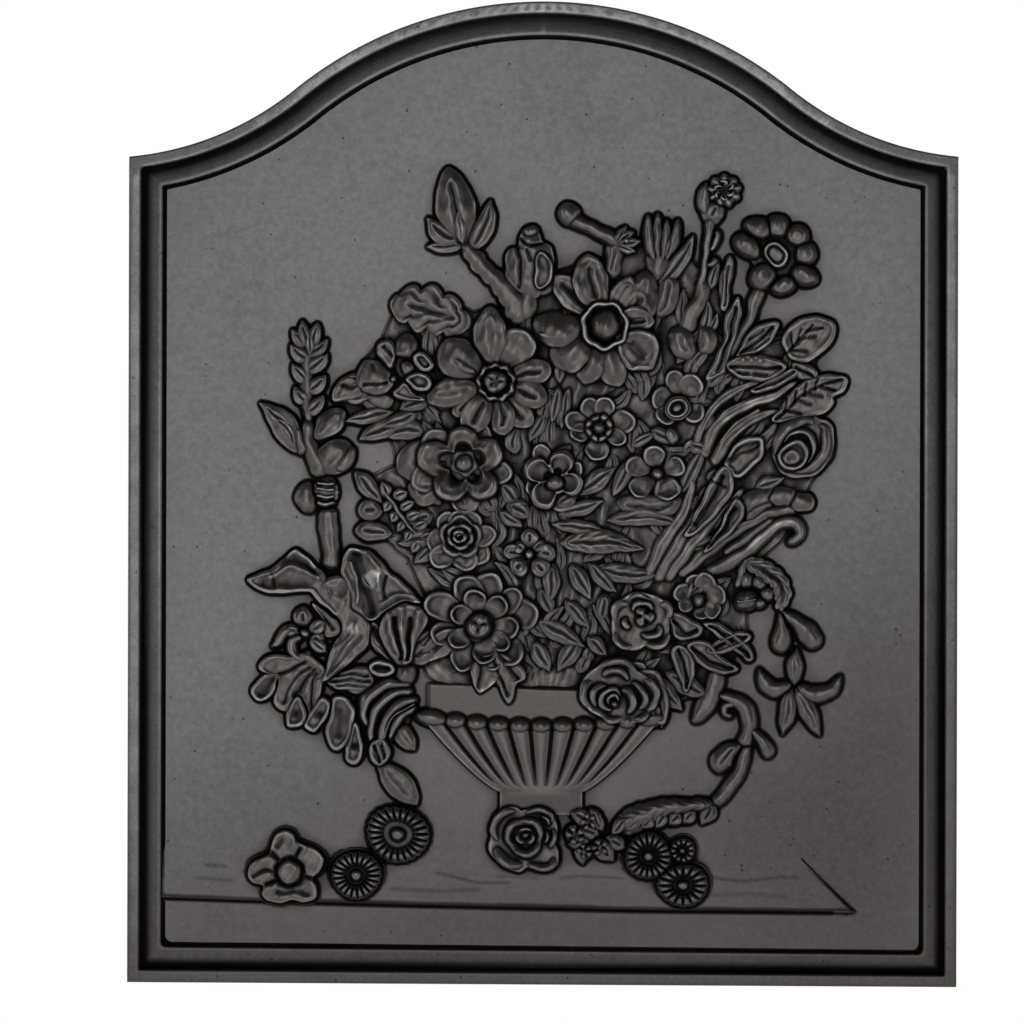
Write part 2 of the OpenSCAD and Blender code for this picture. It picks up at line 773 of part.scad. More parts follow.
module poppy_bud() {
    color(iron) stand() {
        rose(poppy_at, 19.5 * even, small_rise, 33);
    }
}

module berry_spray() {
    color(iron) stand() under_top() {
        for (b = [[126, 250, 9], [137, 252, 9], [146, 243, 9], [126, 234, 12], [138, 232, 8]])
            knob([b[0], b[1]], b[2], bud_rise * 0.8);
        strand([[114, 262], [122, 256], [131, 247], [141, 240], [147, 230]], [8, 7, 9, 8, 6]);
        leaf([120, 252], [131, 262], 7);
        leaf([138, 246], [151, 254], 7);
        leaf([126, 248], [117, 233], 8);
    }
}

module flower_spike() {
    color(iron) stand() {
        strand([[-144, 345], [-143.5, 372], [-142.5, 398]], [10, 9, 8], bud_rise * 0.8);
        for (i = [0 : 5]) {
            y = 350 + 9.3 * i;
            side = i % 2 == 0 ? 1 : -1;
            leaf([-144 - side * 2, y], [-144 + side * 10, y + 8], 9, bud_rise * 0.9);
        }
        leaf([-143, 394], [-142.5, 408], 9, bud_rise);
    }
}

module spike_stem() {
    color(iron) stand() difference() {
        union() {
            strand([[-144, 343], [-140, 328], [-134, 315]], [9, 10, 14]);
            leaf([-134, 314], [-143, 346], 14, bud_rise * 0.8);
            leaf([-133, 312], [-119, 349], 17, bud_rise);
            leaf([-130, 312], [-116, 330], 12, bud_rise * 0.8);
            leaf([-151, 326], [-173, 354], 13);
            leaf([-146, 326], [-160, 345], 8);
            strand([[-133, 313], [-132.5, 291]], [13, 14], bud_rise);
            leaf([-140, 288], [-147, 309], 12, bud_rise * 0.8);
            strand([[-132, 292], [-130, 275], [-128.5, 256]], [11, 10.5, 10.5]);
            strand([[-147, 330], [-140, 322]], [6, 8]);
        }
        translate([0, 0, -1]) scale([1, 1, 3]) intersection() {
            strand([[-144, 345], [-143.5, 372], [-142.5, 398]], [10, 9, 8], bud_rise);
            translate(concat(fit([-170, 340]), 0)) cube(concat(fit([-120, 400]) - fit([-170, 340]), relief));
        }
    }
}

module left_star() {
    color(iron) stand() bloom(left_star_at, left_star_petals, 4 * even, bud_rise, 0.9);
}

module trumpet_form() {
    mouth = [[-100, 224], [-93, 229], [-85, 232], [-77, 228], [-71, 222]];
    for (m = mouth) leaf([-83.5, 194], m, 8.5, bud_rise, 1.3);
    strand([[-84, 206], [-83.5, 190]], [12, 12], bud_rise);
    leaf([-91, 198], [-104, 190], 8, bud_rise * 0.8);
    leaf([-76, 198], [-61, 203], 9, bud_rise * 0.8);
}

module trumpet_lily() {
    color(iron) stand() under_top() trumpet_form();
}

module parrot_form() {
    for (i = [0 : 4]) {
        top = [-86 - 5.2 * i, 188 - 1.6 * i];
        strand([top, top + [-7 + 1.5 * i, -13], top + [-8 + 3.6 * i, -30 + 2 * i]], [6.2, 6.8, 4.4],
            bud_rise - 0.4 * (i % 2));
    }
    strand([[-80, 184], [-83, 170], [-90, 158]], [6, 6, 5], bud_rise * 0.8);
}

module parrot_tulip() {
    color(iron) stand() difference() {
        parrot_form();
        translate([0, 0, -1]) scale([1, 1, 3]) trumpet_form();
    }
}

module star_lily() {
    color(iron) stand() {
        leaf(star_lily_at + [0, -2], [155.5, 205], 9, bud_rise * 0.8);
        curl = bud_rise * 0.75;
        strand([star_lily_at + [2, -2], [168, 178], [178, 181], [183, 189]], [6, 10, 8, 3], curl);
        strand([star_lily_at + [-2, -2], [142, 178], [136, 183], [133, 192]], [6, 9.5, 8, 3], curl);
        leaf(star_lily_at + [1, -3], [169, 155], 11, bud_rise * 0.8);
        leaf(star_lily_at + [-1, -3], [149, 153], 10, bud_rise * 0.8);
        knob(star_lily_at, 9, bud_rise);
    }
}

module drop_leaves() {
    color(iron) stand() {
        strand([[146, 230], [146.5, 222], [146, 212], [145, 204]], [5, 8, 11, 7]);
        strand([[149, 230], [155, 224], [163, 215], [170, 207]], [5, 8, 13, 9]);
        strand([[143, 238], [147, 232]], [5, 6]);
        knob([147, 231], 7, stem_rise);
        knob([163, 214], 6, leaf_rise + 1);
    }
}

// ---- leaves ----

module oak_leaf() {
    stalk = [-44, 403];
    tip = [-91, 417];
    color(iron) stand() under_top() {
        leaf(stalk, tip, 19, leaf_rise + 1);
        for (i = [0 : 2]) {
            root = stalk + (0.12 + 0.25 * i) * (tip - stalk);
            leaf(root, root + [-10, 14 - 2 * i], 12, leaf_rise);
            leaf(root, root + [-14, -8 + i], 11, leaf_rise);
        }
    }
}

module left_sprays() {
    color(iron) stand() under_top() {
        leaf([-100, 364], [-124, 366], 14, bud_rise * 0.8, 1.3);
        leaf([-92, 351], [-110, 359], 11);
        leaf([-90, 348], [-122, 344], 9);
        leaf([-70, 342], [-112, 334], 11);
        leaf([-70, 344], [-94, 356], 12);
        leaf([-62, 318], [-87, 331], 15);
        leaf([-58, 308], [-80, 303], 13);
        leaf([-114, 313], [-97, 296], 10.5);
        leaf([-112, 287], [-94, 277], 11);
        for (i = [0 : 3]) {
            root = [-90 + 5.5 * i, 298 - 9 * i];
            leaf(root + [-3, -2], root + [8, 7], 7.5);
            leaf(root + [1, 3], root + [-5, -10], 7.5);
        }
        leaf([-62, 290], [-80, 279], 12);
        leaf([-62, 278], [-84, 266], 12);
    }
}

module right_leaves_form() {
    leaf([118, 388], [145, 405], 9.5, leaf_rise + 1);
    leaf([146, 381], [180, 404], 22, leaf_rise + 1, 1.15);
    leaf([110, 377], [151, 379], 16.5, leaf_rise + 1.5);
    leaf([124, 364], [158, 377], 10.5, leaf_rise + 0.5);
    leaf([153, 376], [166, 371], 7.5, leaf_rise);
    for (i = [0 : 2]) {
        root = [151 + 10 * i, 351.5 + 6.4 * i];
        leaf(root, root + [2.5, 9.5 - i], 8, leaf_rise);
        leaf(root, root + [11, -2], 8, leaf_rise);
    }
    leaf([146, 349], [186, 374], 9, leaf_rise + 0.5);
}

module right_leaves() {
    color(iron) stand() difference() {
        under_top() right_leaves_form();
        gap(poppy_at, 20 * even, [1, 1]);
    }
}

module sheaf_form() {
    roots = [[70, 246], [76, 249], [82, 252], [88, 256], [64, 250]];
    tips = [[104, 321], [118, 330], [131, 337], [134, 318], [92, 312]];
    bend = [[84, 286], [98, 293], [108, 300], [116, 290], [74, 282]];
    for (i = [0 : 4]) strand([roots[i], (roots[i] + bend[i]) / 2 + [-3, 2], bend[i], tips[i]], [8, 9, 9, 6]);
    strand([[104, 321], [112, 334], [124, 345], [140, 352]], [9, 8, 7, 5], stem_rise);
    strand([[98, 326], [104, 340], [118, 352], [138, 362], [152, 368]], [9, 8, 8, 7, 4], stem_rise);
    strand([[94, 332], [102, 350], [116, 363], [130, 368]], [7, 7, 7, 4], stem_rise);
    leaf([98, 300], [121, 326], 12, leaf_rise + 1);
}

module stem_sheaf() {
    color(iron) stand() under_top() difference() {
        sheaf_form();
        translate([0, 0, -1]) scale([1, 1, 3]) right_leaves_form();
        gap(poppy_at, 20 * even, [1, 1]);
    }
}

module curled_leaves() {
    color(iron) stand() under_top() difference() {
        union() {
            strand([[128, 294], [140, 298], [152, 300], [164, 297]], [8, 11, 10, 8]);
            strand([[118, 262], [130, 270], [144, 281], [154, 284], [157, 277], [152, 270]],
                [8, 10, 10, 9, 8, 5]);
            leaf([99, 264], [123, 297], 12);
            leaf([108, 262], [134, 290], 11);
            leaf([104, 254], [124, 274], 10);
            leaf([133, 303], [147, 308], 9);
        }
        translate([0, 0, -1]) scale([1, 1, 3]) sheaf_form();
        gap(poppy_at, 20 * even, [1, 1]);
    }
}

module middle_leaves() {
    color(iron) stand() under_top() difference() {
        union() {
            leaf([10, 270], [62, 266], 15, leaf_rise + 1.5);
            leaf([34, 257], [72, 251], 12, leaf_rise + 1);
            leaf([40, 282], [88, 296], 14, leaf_rise + 1.5);
            leaf([6, 258], [6, 234], 11, leaf_rise + 1);
            leaf([16, 252], [30, 232], 10, leaf_rise + 1);
            leaf([-3, 224], [26, 207], 12, leaf_rise + 1);
            leaf([24, 212], [12, 193], 12, leaf_rise);
            leaf([44, 300], [56, 322], 10, leaf_rise);
            leaf([28, 214], [38, 202], 9, bud_rise);
            bed = [[-30, 246], [-8, 204], [6, 196], [30, 200], [48, 214], [44, 240], [74, 250], [84, 290],
                [56, 318], [16, 300], [-20, 308]];
            linear_extrude(edge_t * 0.9) polygon([for (p = bed) fit(p)]);
        }
        translate([0, 0, -1]) scale([1, 1, 3]) sheaf_form();
    }
}

module lower_leaves_form() {
    leaf([76, 213], [93, 225], 12, leaf_rise + 1);
    leaf([70, 190], [99, 198], 16, leaf_rise + 1.5);
    leaf([88, 212], [119, 192], 14, leaf_rise + 1);
    leaf([99, 220], [131, 202], 8, leaf_rise + 1);
    leaf([112, 214], [124, 226], 7.5, leaf_rise);
    strand([[107, 196], [105, 184], [99, 172], [93, 163]], [7, 10, 11, 9], leaf_rise + 1);
    leaf([62, 180], [74, 158], 10, leaf_rise);
    leaf([78, 194], [100, 182], 11, leaf_rise);
    leaf([66, 186], [82, 170], 12, leaf_rise + 1);
}

module lower_leaves() {
    color(iron) stand() under_top() difference() {
        lower_leaves_form();
        translate([0, 0, -1]) scale([1, 1, 3]) beads_form();
    }
}

module left_foliage() {
    color(iron) stand() under_top() difference() {
        union() {
            strand([[-132, 252], [-145, 249], [-158, 250], [-170, 250], [-180, 247]], [12, 17, 16, 11, 4]);
            strand([[-130, 258], [-124, 240], [-116, 218], [-123, 202], [-131, 188]], [12, 17, 17, 13, 6],
                leaf_rise + 1);
            strand([[-116, 266], [-106, 258], [-95, 250], [-76, 237]], [12, 16, 13, 5], leaf_rise + 1);
            leaf([-118, 236], [-98, 214], 16);
            leaf([-140, 204], [-166, 196], 13);
            leaf([-138, 202], [-164, 180], 14);
            leaf([-132, 200], [-152, 168], 15);
            leaf([-126, 198], [-141, 160], 13);
            leaf([-118, 196], [-128, 150], 14);
            leaf([-114, 190], [-110, 152], 12);
            leaf([-106, 174], [-98, 140], 12);
            leaf([-99.5, 134.5], [-76, 112], 12.5, leaf_rise + 1);
            strand([[-104, 150], [-101, 142], [-99, 134]], [6, 5, 5]);
        }
        translate([0, 0, -1]) scale([1, 1, 3]) {
            parrot_form();
            trumpet_form();
            bloom(left_star_at, left_star_petals, 4 * even, bud_rise, 0.9);
        }
        translate(concat(fit([-140, 256]), -1)) cube(concat(fit([-110, 286]) - fit([-140, 256]), relief));
    }
}

// ---- handle, foot and fallen blooms ----

module vine_handle() {
    color(iron) stand() difference() {
        union() {
            strand([[108, 178], [116, 174], [124, 170], [127, 162], [126, 155], [122, 147]],
                [4, 6, 8, 9, 9, 8]);
            strand([[120, 173], [114, 171], [113, 167]], [6, 5, 4]);
            strand([[122, 148], [115, 143], [111, 138], [109, 132]], [7, 10, 14, 11]);
            strand([[129, 157], [134, 152], [138, 145], [137, 140]], [4, 5, 6, 7]);
            strand([[126, 147], [123, 136], [118, 125], [110, 115], [106, 112]], [5, 7, 7, 7, 6]);
        }
        translate([0, 0, -1]) scale([1, 1, 3]) lower_leaves_form();
    }
}

module garland_form() {
    strand([[105, 111], [97, 110], [85, 108], [73, 106], [60, 101], [48, 96]],
        [6, 7, 9, 13, 17, 16], stem_rise + 1);
    leaf([107, 112], [98, 98], 9, leaf_rise);
    for (i = [0 : 3]) leaf([50 + 9 * i, 104 + 1.2 * i], [43 + 9 * i, 91 + 1.4 * i], 9, bud_rise);
    for (i = [0 : 1]) leaf([34 + 3 * i, 98 - 3 * i], [16 + 14 * i, 104 - 12 * i], 12, bud_rise);
    leaf([30, 92], [18, 84], 10, bud_rise);
    leaf([34, 88], [44, 76], 11, bud_rise * 0.8);
    knob([21, 92], 11, bud_rise);
}

module foot_garland() {
    color(iron) stand() difference() {
        garland_form();
        translate([0, 0, -1]) scale([1, 1, 3]) {
            foot_rose_form();
            left_daisy_form();
            right_daisy_form();
        }
    }
}

module foot_rose_form() {
    rose(foot_rose_at, foot_rose_r, large_rise * 0.9, 10);
}
module left_daisy_form() {
    daisy(left_daisy_at, left_daisy_r, small_rise);
}
module right_daisy_form() {
    daisy(right_daisy_at, right_daisy_r, small_rise);
}
module fallen_form() {
    bloom(fallen_at, fallen_petals, 7 * even, small_rise, 1.1);
}
module low_daisy_form() {
    daisy(low_daisy_at, low_daisy_r, small_rise);
}
module high_daisy_form() {
    daisy(high_daisy_at, high_daisy_r, small_rise);
}

module foot_rose() {
    color(iron) stand() foot_rose_form();
}

module left_foot_daisy() {
    color(iron) stand() left_daisy_form();
}

module right_foot_daisy() {
    color(iron) stand() right_daisy_form();
}

module fallen_bloom() {
    color(iron) stand() fallen_form();
}

module low_daisy() {
    color(iron) stand() low_daisy_form();
}

module high_daisy() {
    color(iron) stand() high_daisy_form();
}

back_plate();
border_left();
border_right();
border_foot();
border_arch();
table_top();
urn_neck();
urn_beads();
urn_bowl();
urn_foot();
daffodil();
anemone();
star_bloom();
dahlia();
upper_rose();
lower_rose();
wild_rose();
primrose();
periwinkle();
violet();
rosette();
small_rose();
small_lily();
half_bloom();
leaf_bud();
rose_bud();
carnation_bud();
tulip_bud();
thistle();
top_daisy();
bulb_bud();
poppy_bud();
berry_spray();
flower_spike();
spike_stem();
left_star();
trumpet_lily();
parrot_tulip();
star_lily();
oak_leaf();
left_sprays();
right_leaves();
stem_sheaf();
curled_leaves();
middle_leaves();
lower_leaves();
left_foliage();
drop_leaves();
vine_handle();
foot_garland();
foot_rose();
left_foot_daisy();
right_foot_daisy();
fallen_bloom();
low_daisy();
high_daisy();
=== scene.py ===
import math
import bpy
import bmesh
import numpy as np
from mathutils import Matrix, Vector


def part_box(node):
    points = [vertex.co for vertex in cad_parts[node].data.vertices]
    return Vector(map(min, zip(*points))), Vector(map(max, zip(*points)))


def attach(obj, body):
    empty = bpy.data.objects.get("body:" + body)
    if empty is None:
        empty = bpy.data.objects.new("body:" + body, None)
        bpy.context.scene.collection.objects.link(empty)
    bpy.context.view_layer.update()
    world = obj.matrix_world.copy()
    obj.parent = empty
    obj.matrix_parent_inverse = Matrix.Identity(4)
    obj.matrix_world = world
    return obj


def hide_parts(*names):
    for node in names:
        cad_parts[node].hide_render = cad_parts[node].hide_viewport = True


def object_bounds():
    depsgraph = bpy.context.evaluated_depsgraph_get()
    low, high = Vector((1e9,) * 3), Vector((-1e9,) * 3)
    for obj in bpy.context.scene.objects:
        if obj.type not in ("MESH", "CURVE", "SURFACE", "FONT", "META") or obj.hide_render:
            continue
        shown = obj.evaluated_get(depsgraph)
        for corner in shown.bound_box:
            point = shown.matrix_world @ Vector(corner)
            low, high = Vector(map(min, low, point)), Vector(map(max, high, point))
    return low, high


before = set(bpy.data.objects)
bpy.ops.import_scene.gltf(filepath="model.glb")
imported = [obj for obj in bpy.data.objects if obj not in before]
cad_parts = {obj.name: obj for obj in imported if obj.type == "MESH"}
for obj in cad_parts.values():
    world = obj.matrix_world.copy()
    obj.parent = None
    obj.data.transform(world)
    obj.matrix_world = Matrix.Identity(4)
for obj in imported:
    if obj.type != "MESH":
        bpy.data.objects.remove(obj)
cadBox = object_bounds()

from types import SimpleNamespace
from numpy import array, clip, concatenate, cos, dstack, interp, linspace, sin, stack

scene = bpy.context.scene

# A cast-iron fireback. Places are in millimetres on the board: x from its centre line, z up from
# its foot, and a third number for the height off its face. onBoard() turns them into metres.
# Outlines, hearts and paths give x and z in turn, or as pairs.
mm = 0.001
boardLow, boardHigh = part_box("back_plate")
faceY = boardLow[1]                      # the front face of the board
backY = boardHigh[1]
plateW = (boardHigh[0] - boardLow[0]) / mm
plateH = (boardHigh[2] - boardLow[2]) / mm
tallest = (faceY - cadBox[0][1]) / mm    # how far the highest flower stands out
carvings = {}                            # node name -> list of (rows, columns, 3) grids
now = {}                                 # the node that is being carved


# Names the node that is carved from here on, and hands back its sizes.
def begin(node, sizes=None):
    now["node"] = node
    return SimpleNamespace(**(sizes or {}))


# A cubic from b to c, f from 0 to 1, that heads for the points before and after them.
def catmullRom(a, b, c, d, f):
    return 0.5 * (2 * b + (c - a) * f + (2 * a - 5 * b + 4 * c - d) * f ** 2 + (3 * b - a - 3 * c + d) * f ** 3)


# A line's points at the lengths that the rule picks from its whole length.
def evenSteps(line, rule):
    run = concatenate([[0], np.cumsum(np.linalg.norm(np.diff(line, axis=0), axis=1))])
    want = rule(run[-1])
    return stack([interp(want, run, line[:, 0]), interp(want, run, line[:, 1])], 1)


# A smooth curve through the points (Catmull-Rom), in equal steps of length.
def splineThrough(points, count):
    p = np.reshape(points, (-1, 2)).astype(float)
    if len(p) == 2:
        s = linspace(0, 1, count)[:, None]
        return p[0] * (1 - s) + p[1] * s
    q = np.vstack([2 * p[0] - p[1], p, 2 * p[-1] - p[-2]])
    u = linspace(0, len(p) - 1 - 1e-9, 14 * len(p))
    i = u.astype(int)
    f = (u - i)[:, None]
    curve = catmullRom(q[i], q[i + 1], q[i + 2], q[i + 3], f)
    return evenSteps(curve, lambda long: linspace(0, long, count))


def bump(x, middle, wide):
    return np.exp(-((x - middle) / wide) ** 2)


# Slow uneven swell of a sand casting, about -1 to 1: four crossing sine waves.
def castWave(x, z, size, seed=0.0):
    k = 2 * math.pi / size
    return 0.25 * (sin(k * (x + 0.35 * z) + seed) + sin(k * (0.82 * z - 0.5 * x) + 2.1 * seed + 1)
        + sin(k * 1.7 * (0.6 * x + 0.7 * z) + 4 + seed) + sin(k * 2.3 * (0.9 * x - 0.4 * z) + 2.6))


wall = dict(
    out=[0.25, 0.5, 0.72, 1.0, 1.7, 2.5, 3.3], # how far each row of the wall stands outside the edge
    share=[0.84, 0.48, 0.16, 0, 0, 0, 0],      # its height as a share of the edge's
    lift=[0, 0, 0, 0.2, 0.1, 0.03, -0.4],      # and what is added, so that the foot flows out
)


carved = dict(sway=0.8, swaySize=24, chisel=0.03, chiselSize=15)    # how uneven the carver's hand is
edgeShare = 0.65                                 # how strongly raised edges show
trueForms = ("urn_beads", "urn_neck", "urn_foot", "right_foot_daisy", "left_foot_daisy", "low_daisy", "high_daisy")


# Moves a form's points a little, as carving by hand does: sideways by slow waves, and up and down in proportion
# to its height by quicker ones.
def byHand(top, seat):
    x, z, h = top[:, :, 0], top[:, :, 1], top[:, :, 2]
    c = carved
    moved = top.copy()
    moved[:, :, 0] = x + c["sway"] * castWave(z, x, c["swaySize"], 0.7)
    moved[:, :, 1] = z + c["sway"] * castWave(x, z, c["swaySize"], 2.9)
    moved[:, :, 2] = h + (h - seat) * c["chisel"] * castWave(x, z, c["chiselSize"], 1.3) * 2
    moved[:, :, 2] = clip(moved[:, :, 2], seat + 0.2, tallest - 0.12)
    return moved


# Closes a form: a leaning wall runs from its edge down to the board, and a small fillet flows out and dips
# under the face, each row moved along the edge's outward normal.
def addShell(top, seat):
    if now["node"] not in trueForms:
        top = byHand(top, seat)
    edge = top[-1]
    run = np.roll(edge[:, :2], -1, 0) - np.roll(edge[:, :2], 1, 0)
    run /= np.linalg.norm(run, axis=1)[:, None] + 1e-9
    outward = stack([-run[:, 1], run[:, 0]], 1)
    outward = 0.25 * np.roll(outward, 1, 0) + 0.5 * outward + 0.25 * np.roll(outward, -1, 0)
    out = array(wall["out"])[:, None, None]
    low = np.empty((len(wall["out"]), len(edge), 3))
    low[:, :, :2] = edge[None, :, :2] + out * outward[None]
    low[:, :, 2] = (seat + (edge[None, :, 2] - seat) * array(wall["share"])[:, None] + array(wall["lift"])[:, None])
    carvings.setdefault(now["node"], []).append(concatenate([top, low]))


plainBlade = dict(
    point=0.85,        # 0.5 rounds the ends, 1 makes them sharp
    belly=0.85,        # widest near the stalk (under 1) or near the tip (over 1)
    widths=None,       # widths along a stem or curled petal, in place of the two above
    lobes=0,           # bays along each edge
    lobeDepth=0.2,
    skew=0.0,          # moves the lobes of one side along
    lift=(0.7, 1.0, 0.8),   # height at the stalk, the middle and the tip
    dome=0.35,         # how much lower the edge is than the middle
    domeHow=2.2,
    crease=0.18,       # groove along the middle
    creaseWide=0.16,
    rim=0.0,           # raised edge
    tipOnly=0.0,       # how much that edge fades along the sides
    tilt=0.0,          # one side higher than the other
    veins=0,           # slanting grooves from the middle to the edge
    veinDepth=0.35,
    slant=1.4,
    streaks=0,         # grooves that run lengthwise
    streakDepth=0.3,
    seat=0.0,
)


# A leaf, petal or stem. Its outline stands off a smooth path by wide/2 * sin(pi * t^belly)^point, or by the
# given widths with round ends. Rows run from the path out to the edge, r from 0 to 1. Height = rise * lift(t) *
# (1 - dome*r^2.2 - middle groove + edge rim + tilt*side*r) - veins.
def blade(path, wide, rise, **look):
    s = SimpleNamespace(**{**plainBlade, **look})
    line = splineThrough(path, 90)
    long = np.linalg.norm(np.diff(line, axis=0), axis=1).sum()
    widest = max(s.widths) if s.widths else wide
    steps = int(clip(long / 0.75, 9, 46)) + 6 * (s.lobes > 0)
    t = 0.5 - 0.5 * cos(np.pi * linspace(0, 1, steps))
    t = 0.5 * t + 0.5 * linspace(0, 1, steps) if s.lobes else t
    if s.widths:
        half = interp(t, linspace(0, 1, len(s.widths)), s.widths) / 2
        cap = clip(0.5 * widest / long, 0.02, 0.45)
        near = clip(np.minimum(t, 1 - t) / cap, 0, 1)
        half = half * np.sqrt(clip(1 - (1 - near) ** 2, 0, 1))
    else:
        half = wide / 2 * clip(sin(np.pi * t ** s.belly), 0, 1) ** s.point

    def along(share):
        at = share * (len(line) - 1)
        i = clip(at.astype(int), 0, len(line) - 2)
        f = (at - i)[:, None]
        return line[i] * (1 - f) + line[i + 1] * f, line[i + 1] - line[i]

    spine, run = along(t)
    run = run / (np.linalg.norm(run, axis=1)[:, None] + 1e-9)
    left = stack([-run[:, 1], run[:, 0]], 1)
    edges = []
    for side in (1, -1):
        h = half
        if s.lobes:
            turn = np.pi * (s.lobes * t + (s.skew if side < 0 else 0))
            h = half * (1 - s.lobeDepth * (1 - np.abs(sin(turn)) ** 0.7))
        edges.append(spine + side * h[:, None] * left)
    inset = clip(0.42 * widest / long, 0.03, 0.42)
    tIn = clip(t, inset, 1 - inset)
    core = along(tIn)[0]
    outline = np.vstack([edges[0], edges[1][-2:0:-1]])
    inner = np.vstack([core, core[-2:0:-1]])
    tEdge = concatenate([t, t[-2:0:-1]])
    tCore = concatenate([tIn, tIn[-2:0:-1]])
    side = concatenate([np.ones(steps), -np.ones(steps - 2)])
    rows = int(clip(widest / 1.7, 4, 10)) + (3 if s.veins or s.streaks else 1)
    r = linspace(0, 1, rows)[:, None] ** 0.85
    xy = inner[None] + (outline - inner)[None] * r[:, :, None]
    tt = tCore + (tEdge - tCore) * r
    a, b, c = s.lift
    rising = np.where(tt < 0.5, a + (b - a) * sin(np.pi * clip(tt, 0, 0.5)),
        c + (b - c) * sin(np.pi * clip(tt, 0.5, 1)))
    inside = clip(sin(np.pi * clip((tt - 0.6 * inset) / (1 - 1.2 * inset), 0, 1)), 0, 1) ** 0.6
    shape = (1 - s.dome * r ** s.domeHow - s.crease * inside * bump(r, 0, s.creaseWide)
        + s.rim * edgeShare * bump(r, 0.84, 0.17) * (1 - s.tipOnly * (1 - clip((tt - 0.42) / 0.4, 0, 1)))
        + s.tilt * side * r * inside)
    z = rise * rising * shape
    if s.veins:
        wave = cos(2 * np.pi * (s.veins * tt - s.slant * r * widest / long * s.veins * 0.5))
        z = z - s.veinDepth * clip(wave, -0.2, 1) ** 2 * bump(r, 0.5, 0.38)
    if s.streaks:
        z = z - s.streakDepth * (0.5 + 0.5 * cos(2 * np.pi * r * s.streaks)) * bump(r, 0.5, 0.4)
    z = s.seat + clip(z, 0.25, tallest - 0.15 - s.seat)
    addShell(dstack([xy, z]), s.seat)


# A flower's outline radius at each angle: the furthest of its lobes (direction, length, span), each a rounded
# bump, and never under the notch.
def lobedRadius(angle, lobes, notch, round_=0.5):
    far = np.full_like(angle, notch)
    for lobe in lobes:
        off = (angle - math.radians(lobe[0]) + np.pi) % (2 * np.pi) - np.pi
        span = math.radians(lobe[2]) / 2
        c = clip(cos(clip(off / span, -1, 1) * np.pi / 2), 0, 1) ** round_
        far = np.maximum(far, notch + (lobe[1] - notch) * c)
    return far


# A round form. Its outline is a radius or a function of the angle, its height over r from 0 to 1 follows the
# profile, and petals cut grooves: height * (1 - groove * bump at each gap).
def disc(at, radius, profile, rise, seat=0.0, stretch=1.0, turn=0.0, fold=None, petals=0, groove=0.0, columns=0,
        ripple=0.0):
    reach = radius if np.isscalar(radius) else max(radius(linspace(0, 2 * np.pi, 73)))
    n = columns or int(clip(2 * np.pi * reach / 0.8, 14, 150))
    angle = -linspace(0, 2 * np.pi, n, endpoint=False)
    far = np.full(n, float(radius)) if np.isscalar(radius) else radius(angle)
    rows = int(clip(reach / 0.75, 5, 34))
    r = linspace(0, 1, rows)[:, None]
    pr, ph = zip(*profile)
    fine = linspace(0, 1, 161)
    soft = interp(fine, pr, ph)
    soft = np.convolve(np.pad(soft, 4, mode="edge"), np.ones(9) / 9, "valid")
    z = rise * interp(r, fine, soft) * np.ones((1, n))
    if petals:
        gap = np.abs(((angle - math.radians(turn)) * petals / (2 * np.pi)) % 1 - 0.5) * 2
        start = fold or 0.3
        z = z * (1 - groove * bump(1 - gap, 0, 0.35)[None] * clip((r - start) / 0.12, 0, 1))
    if ripple:
        z = z + ripple * sin(9 * angle)[None] * sin(np.pi * r)
    x = far[None] * r * cos(angle)[None]
    y = far[None] * r * sin(angle)[None] * stretch
    c, q = math.cos(math.radians(turn)), math.sin(math.radians(turn))
    if stretch != 1.0:
        x, y = x * c - y * q, x * q + y * c
    z = seat + clip(z, 0.2, tallest - 0.15 - seat)
    addShell(dstack([at[0] + x, at[1] + y, z]), seat)


# A smooth closed curve through the points, walked clockwise in equal steps.
def closedCurve(points, step=0.8):
    p = np.reshape(points, (-1, 2)).astype(float)
    n = np.roll(p, -1, 0)
    if np.sum(p[:, 0] * n[:, 1] - n[:, 0] * p[:, 1]) > 0:
        p = p[::-1]
    q = np.vstack([p[-2:], p, p[:2]])
    u = linspace(2, len(p) + 2, 24 * len(p), endpoint=False)
    i = u.astype(int)
    f = (u - i)[:, None]
    curve = catmullRom(q[i - 1], q[i], q[(i + 1) % len(q)], q[(i + 2) % len(q)], f)
    return evenSteps(np.vstack([curve, curve[:1]]), lambda long: linspace(0, long, max(int(long / step), 12),
        endpoint=False))


# The nearest point on a line through points, and how far off it is.
def nearestOn(path, x, z):
    line = splineThrough(path, 40) if np.size(path) > 2 else np.reshape([path, path], (2, 2)).astype(float)
    off = np.hypot(x[..., None] - line[:, 0], z[..., None] - line[:, 1])
    k = off.argmin(-1)
    return line[k], np.take_along_axis(off, k[..., None], -1)[..., 0]


# Distance from a line of straight stretches.
def offPath(path, x, z):
    best = np.full(x.shape, 1e3)
    for (x0, z0), (x1, z1) in zip(path[:-1], path[1:]):
        run = array([x1 - x0, z1 - z0])
        t = clip(((x - x0) * run[0] + (z - z0) * run[1]) / (run @ run), 0, 1)
        best = np.minimum(best, np.hypot(x - x0 - t * run[0], z - z0 - t * run[1]))
    return best


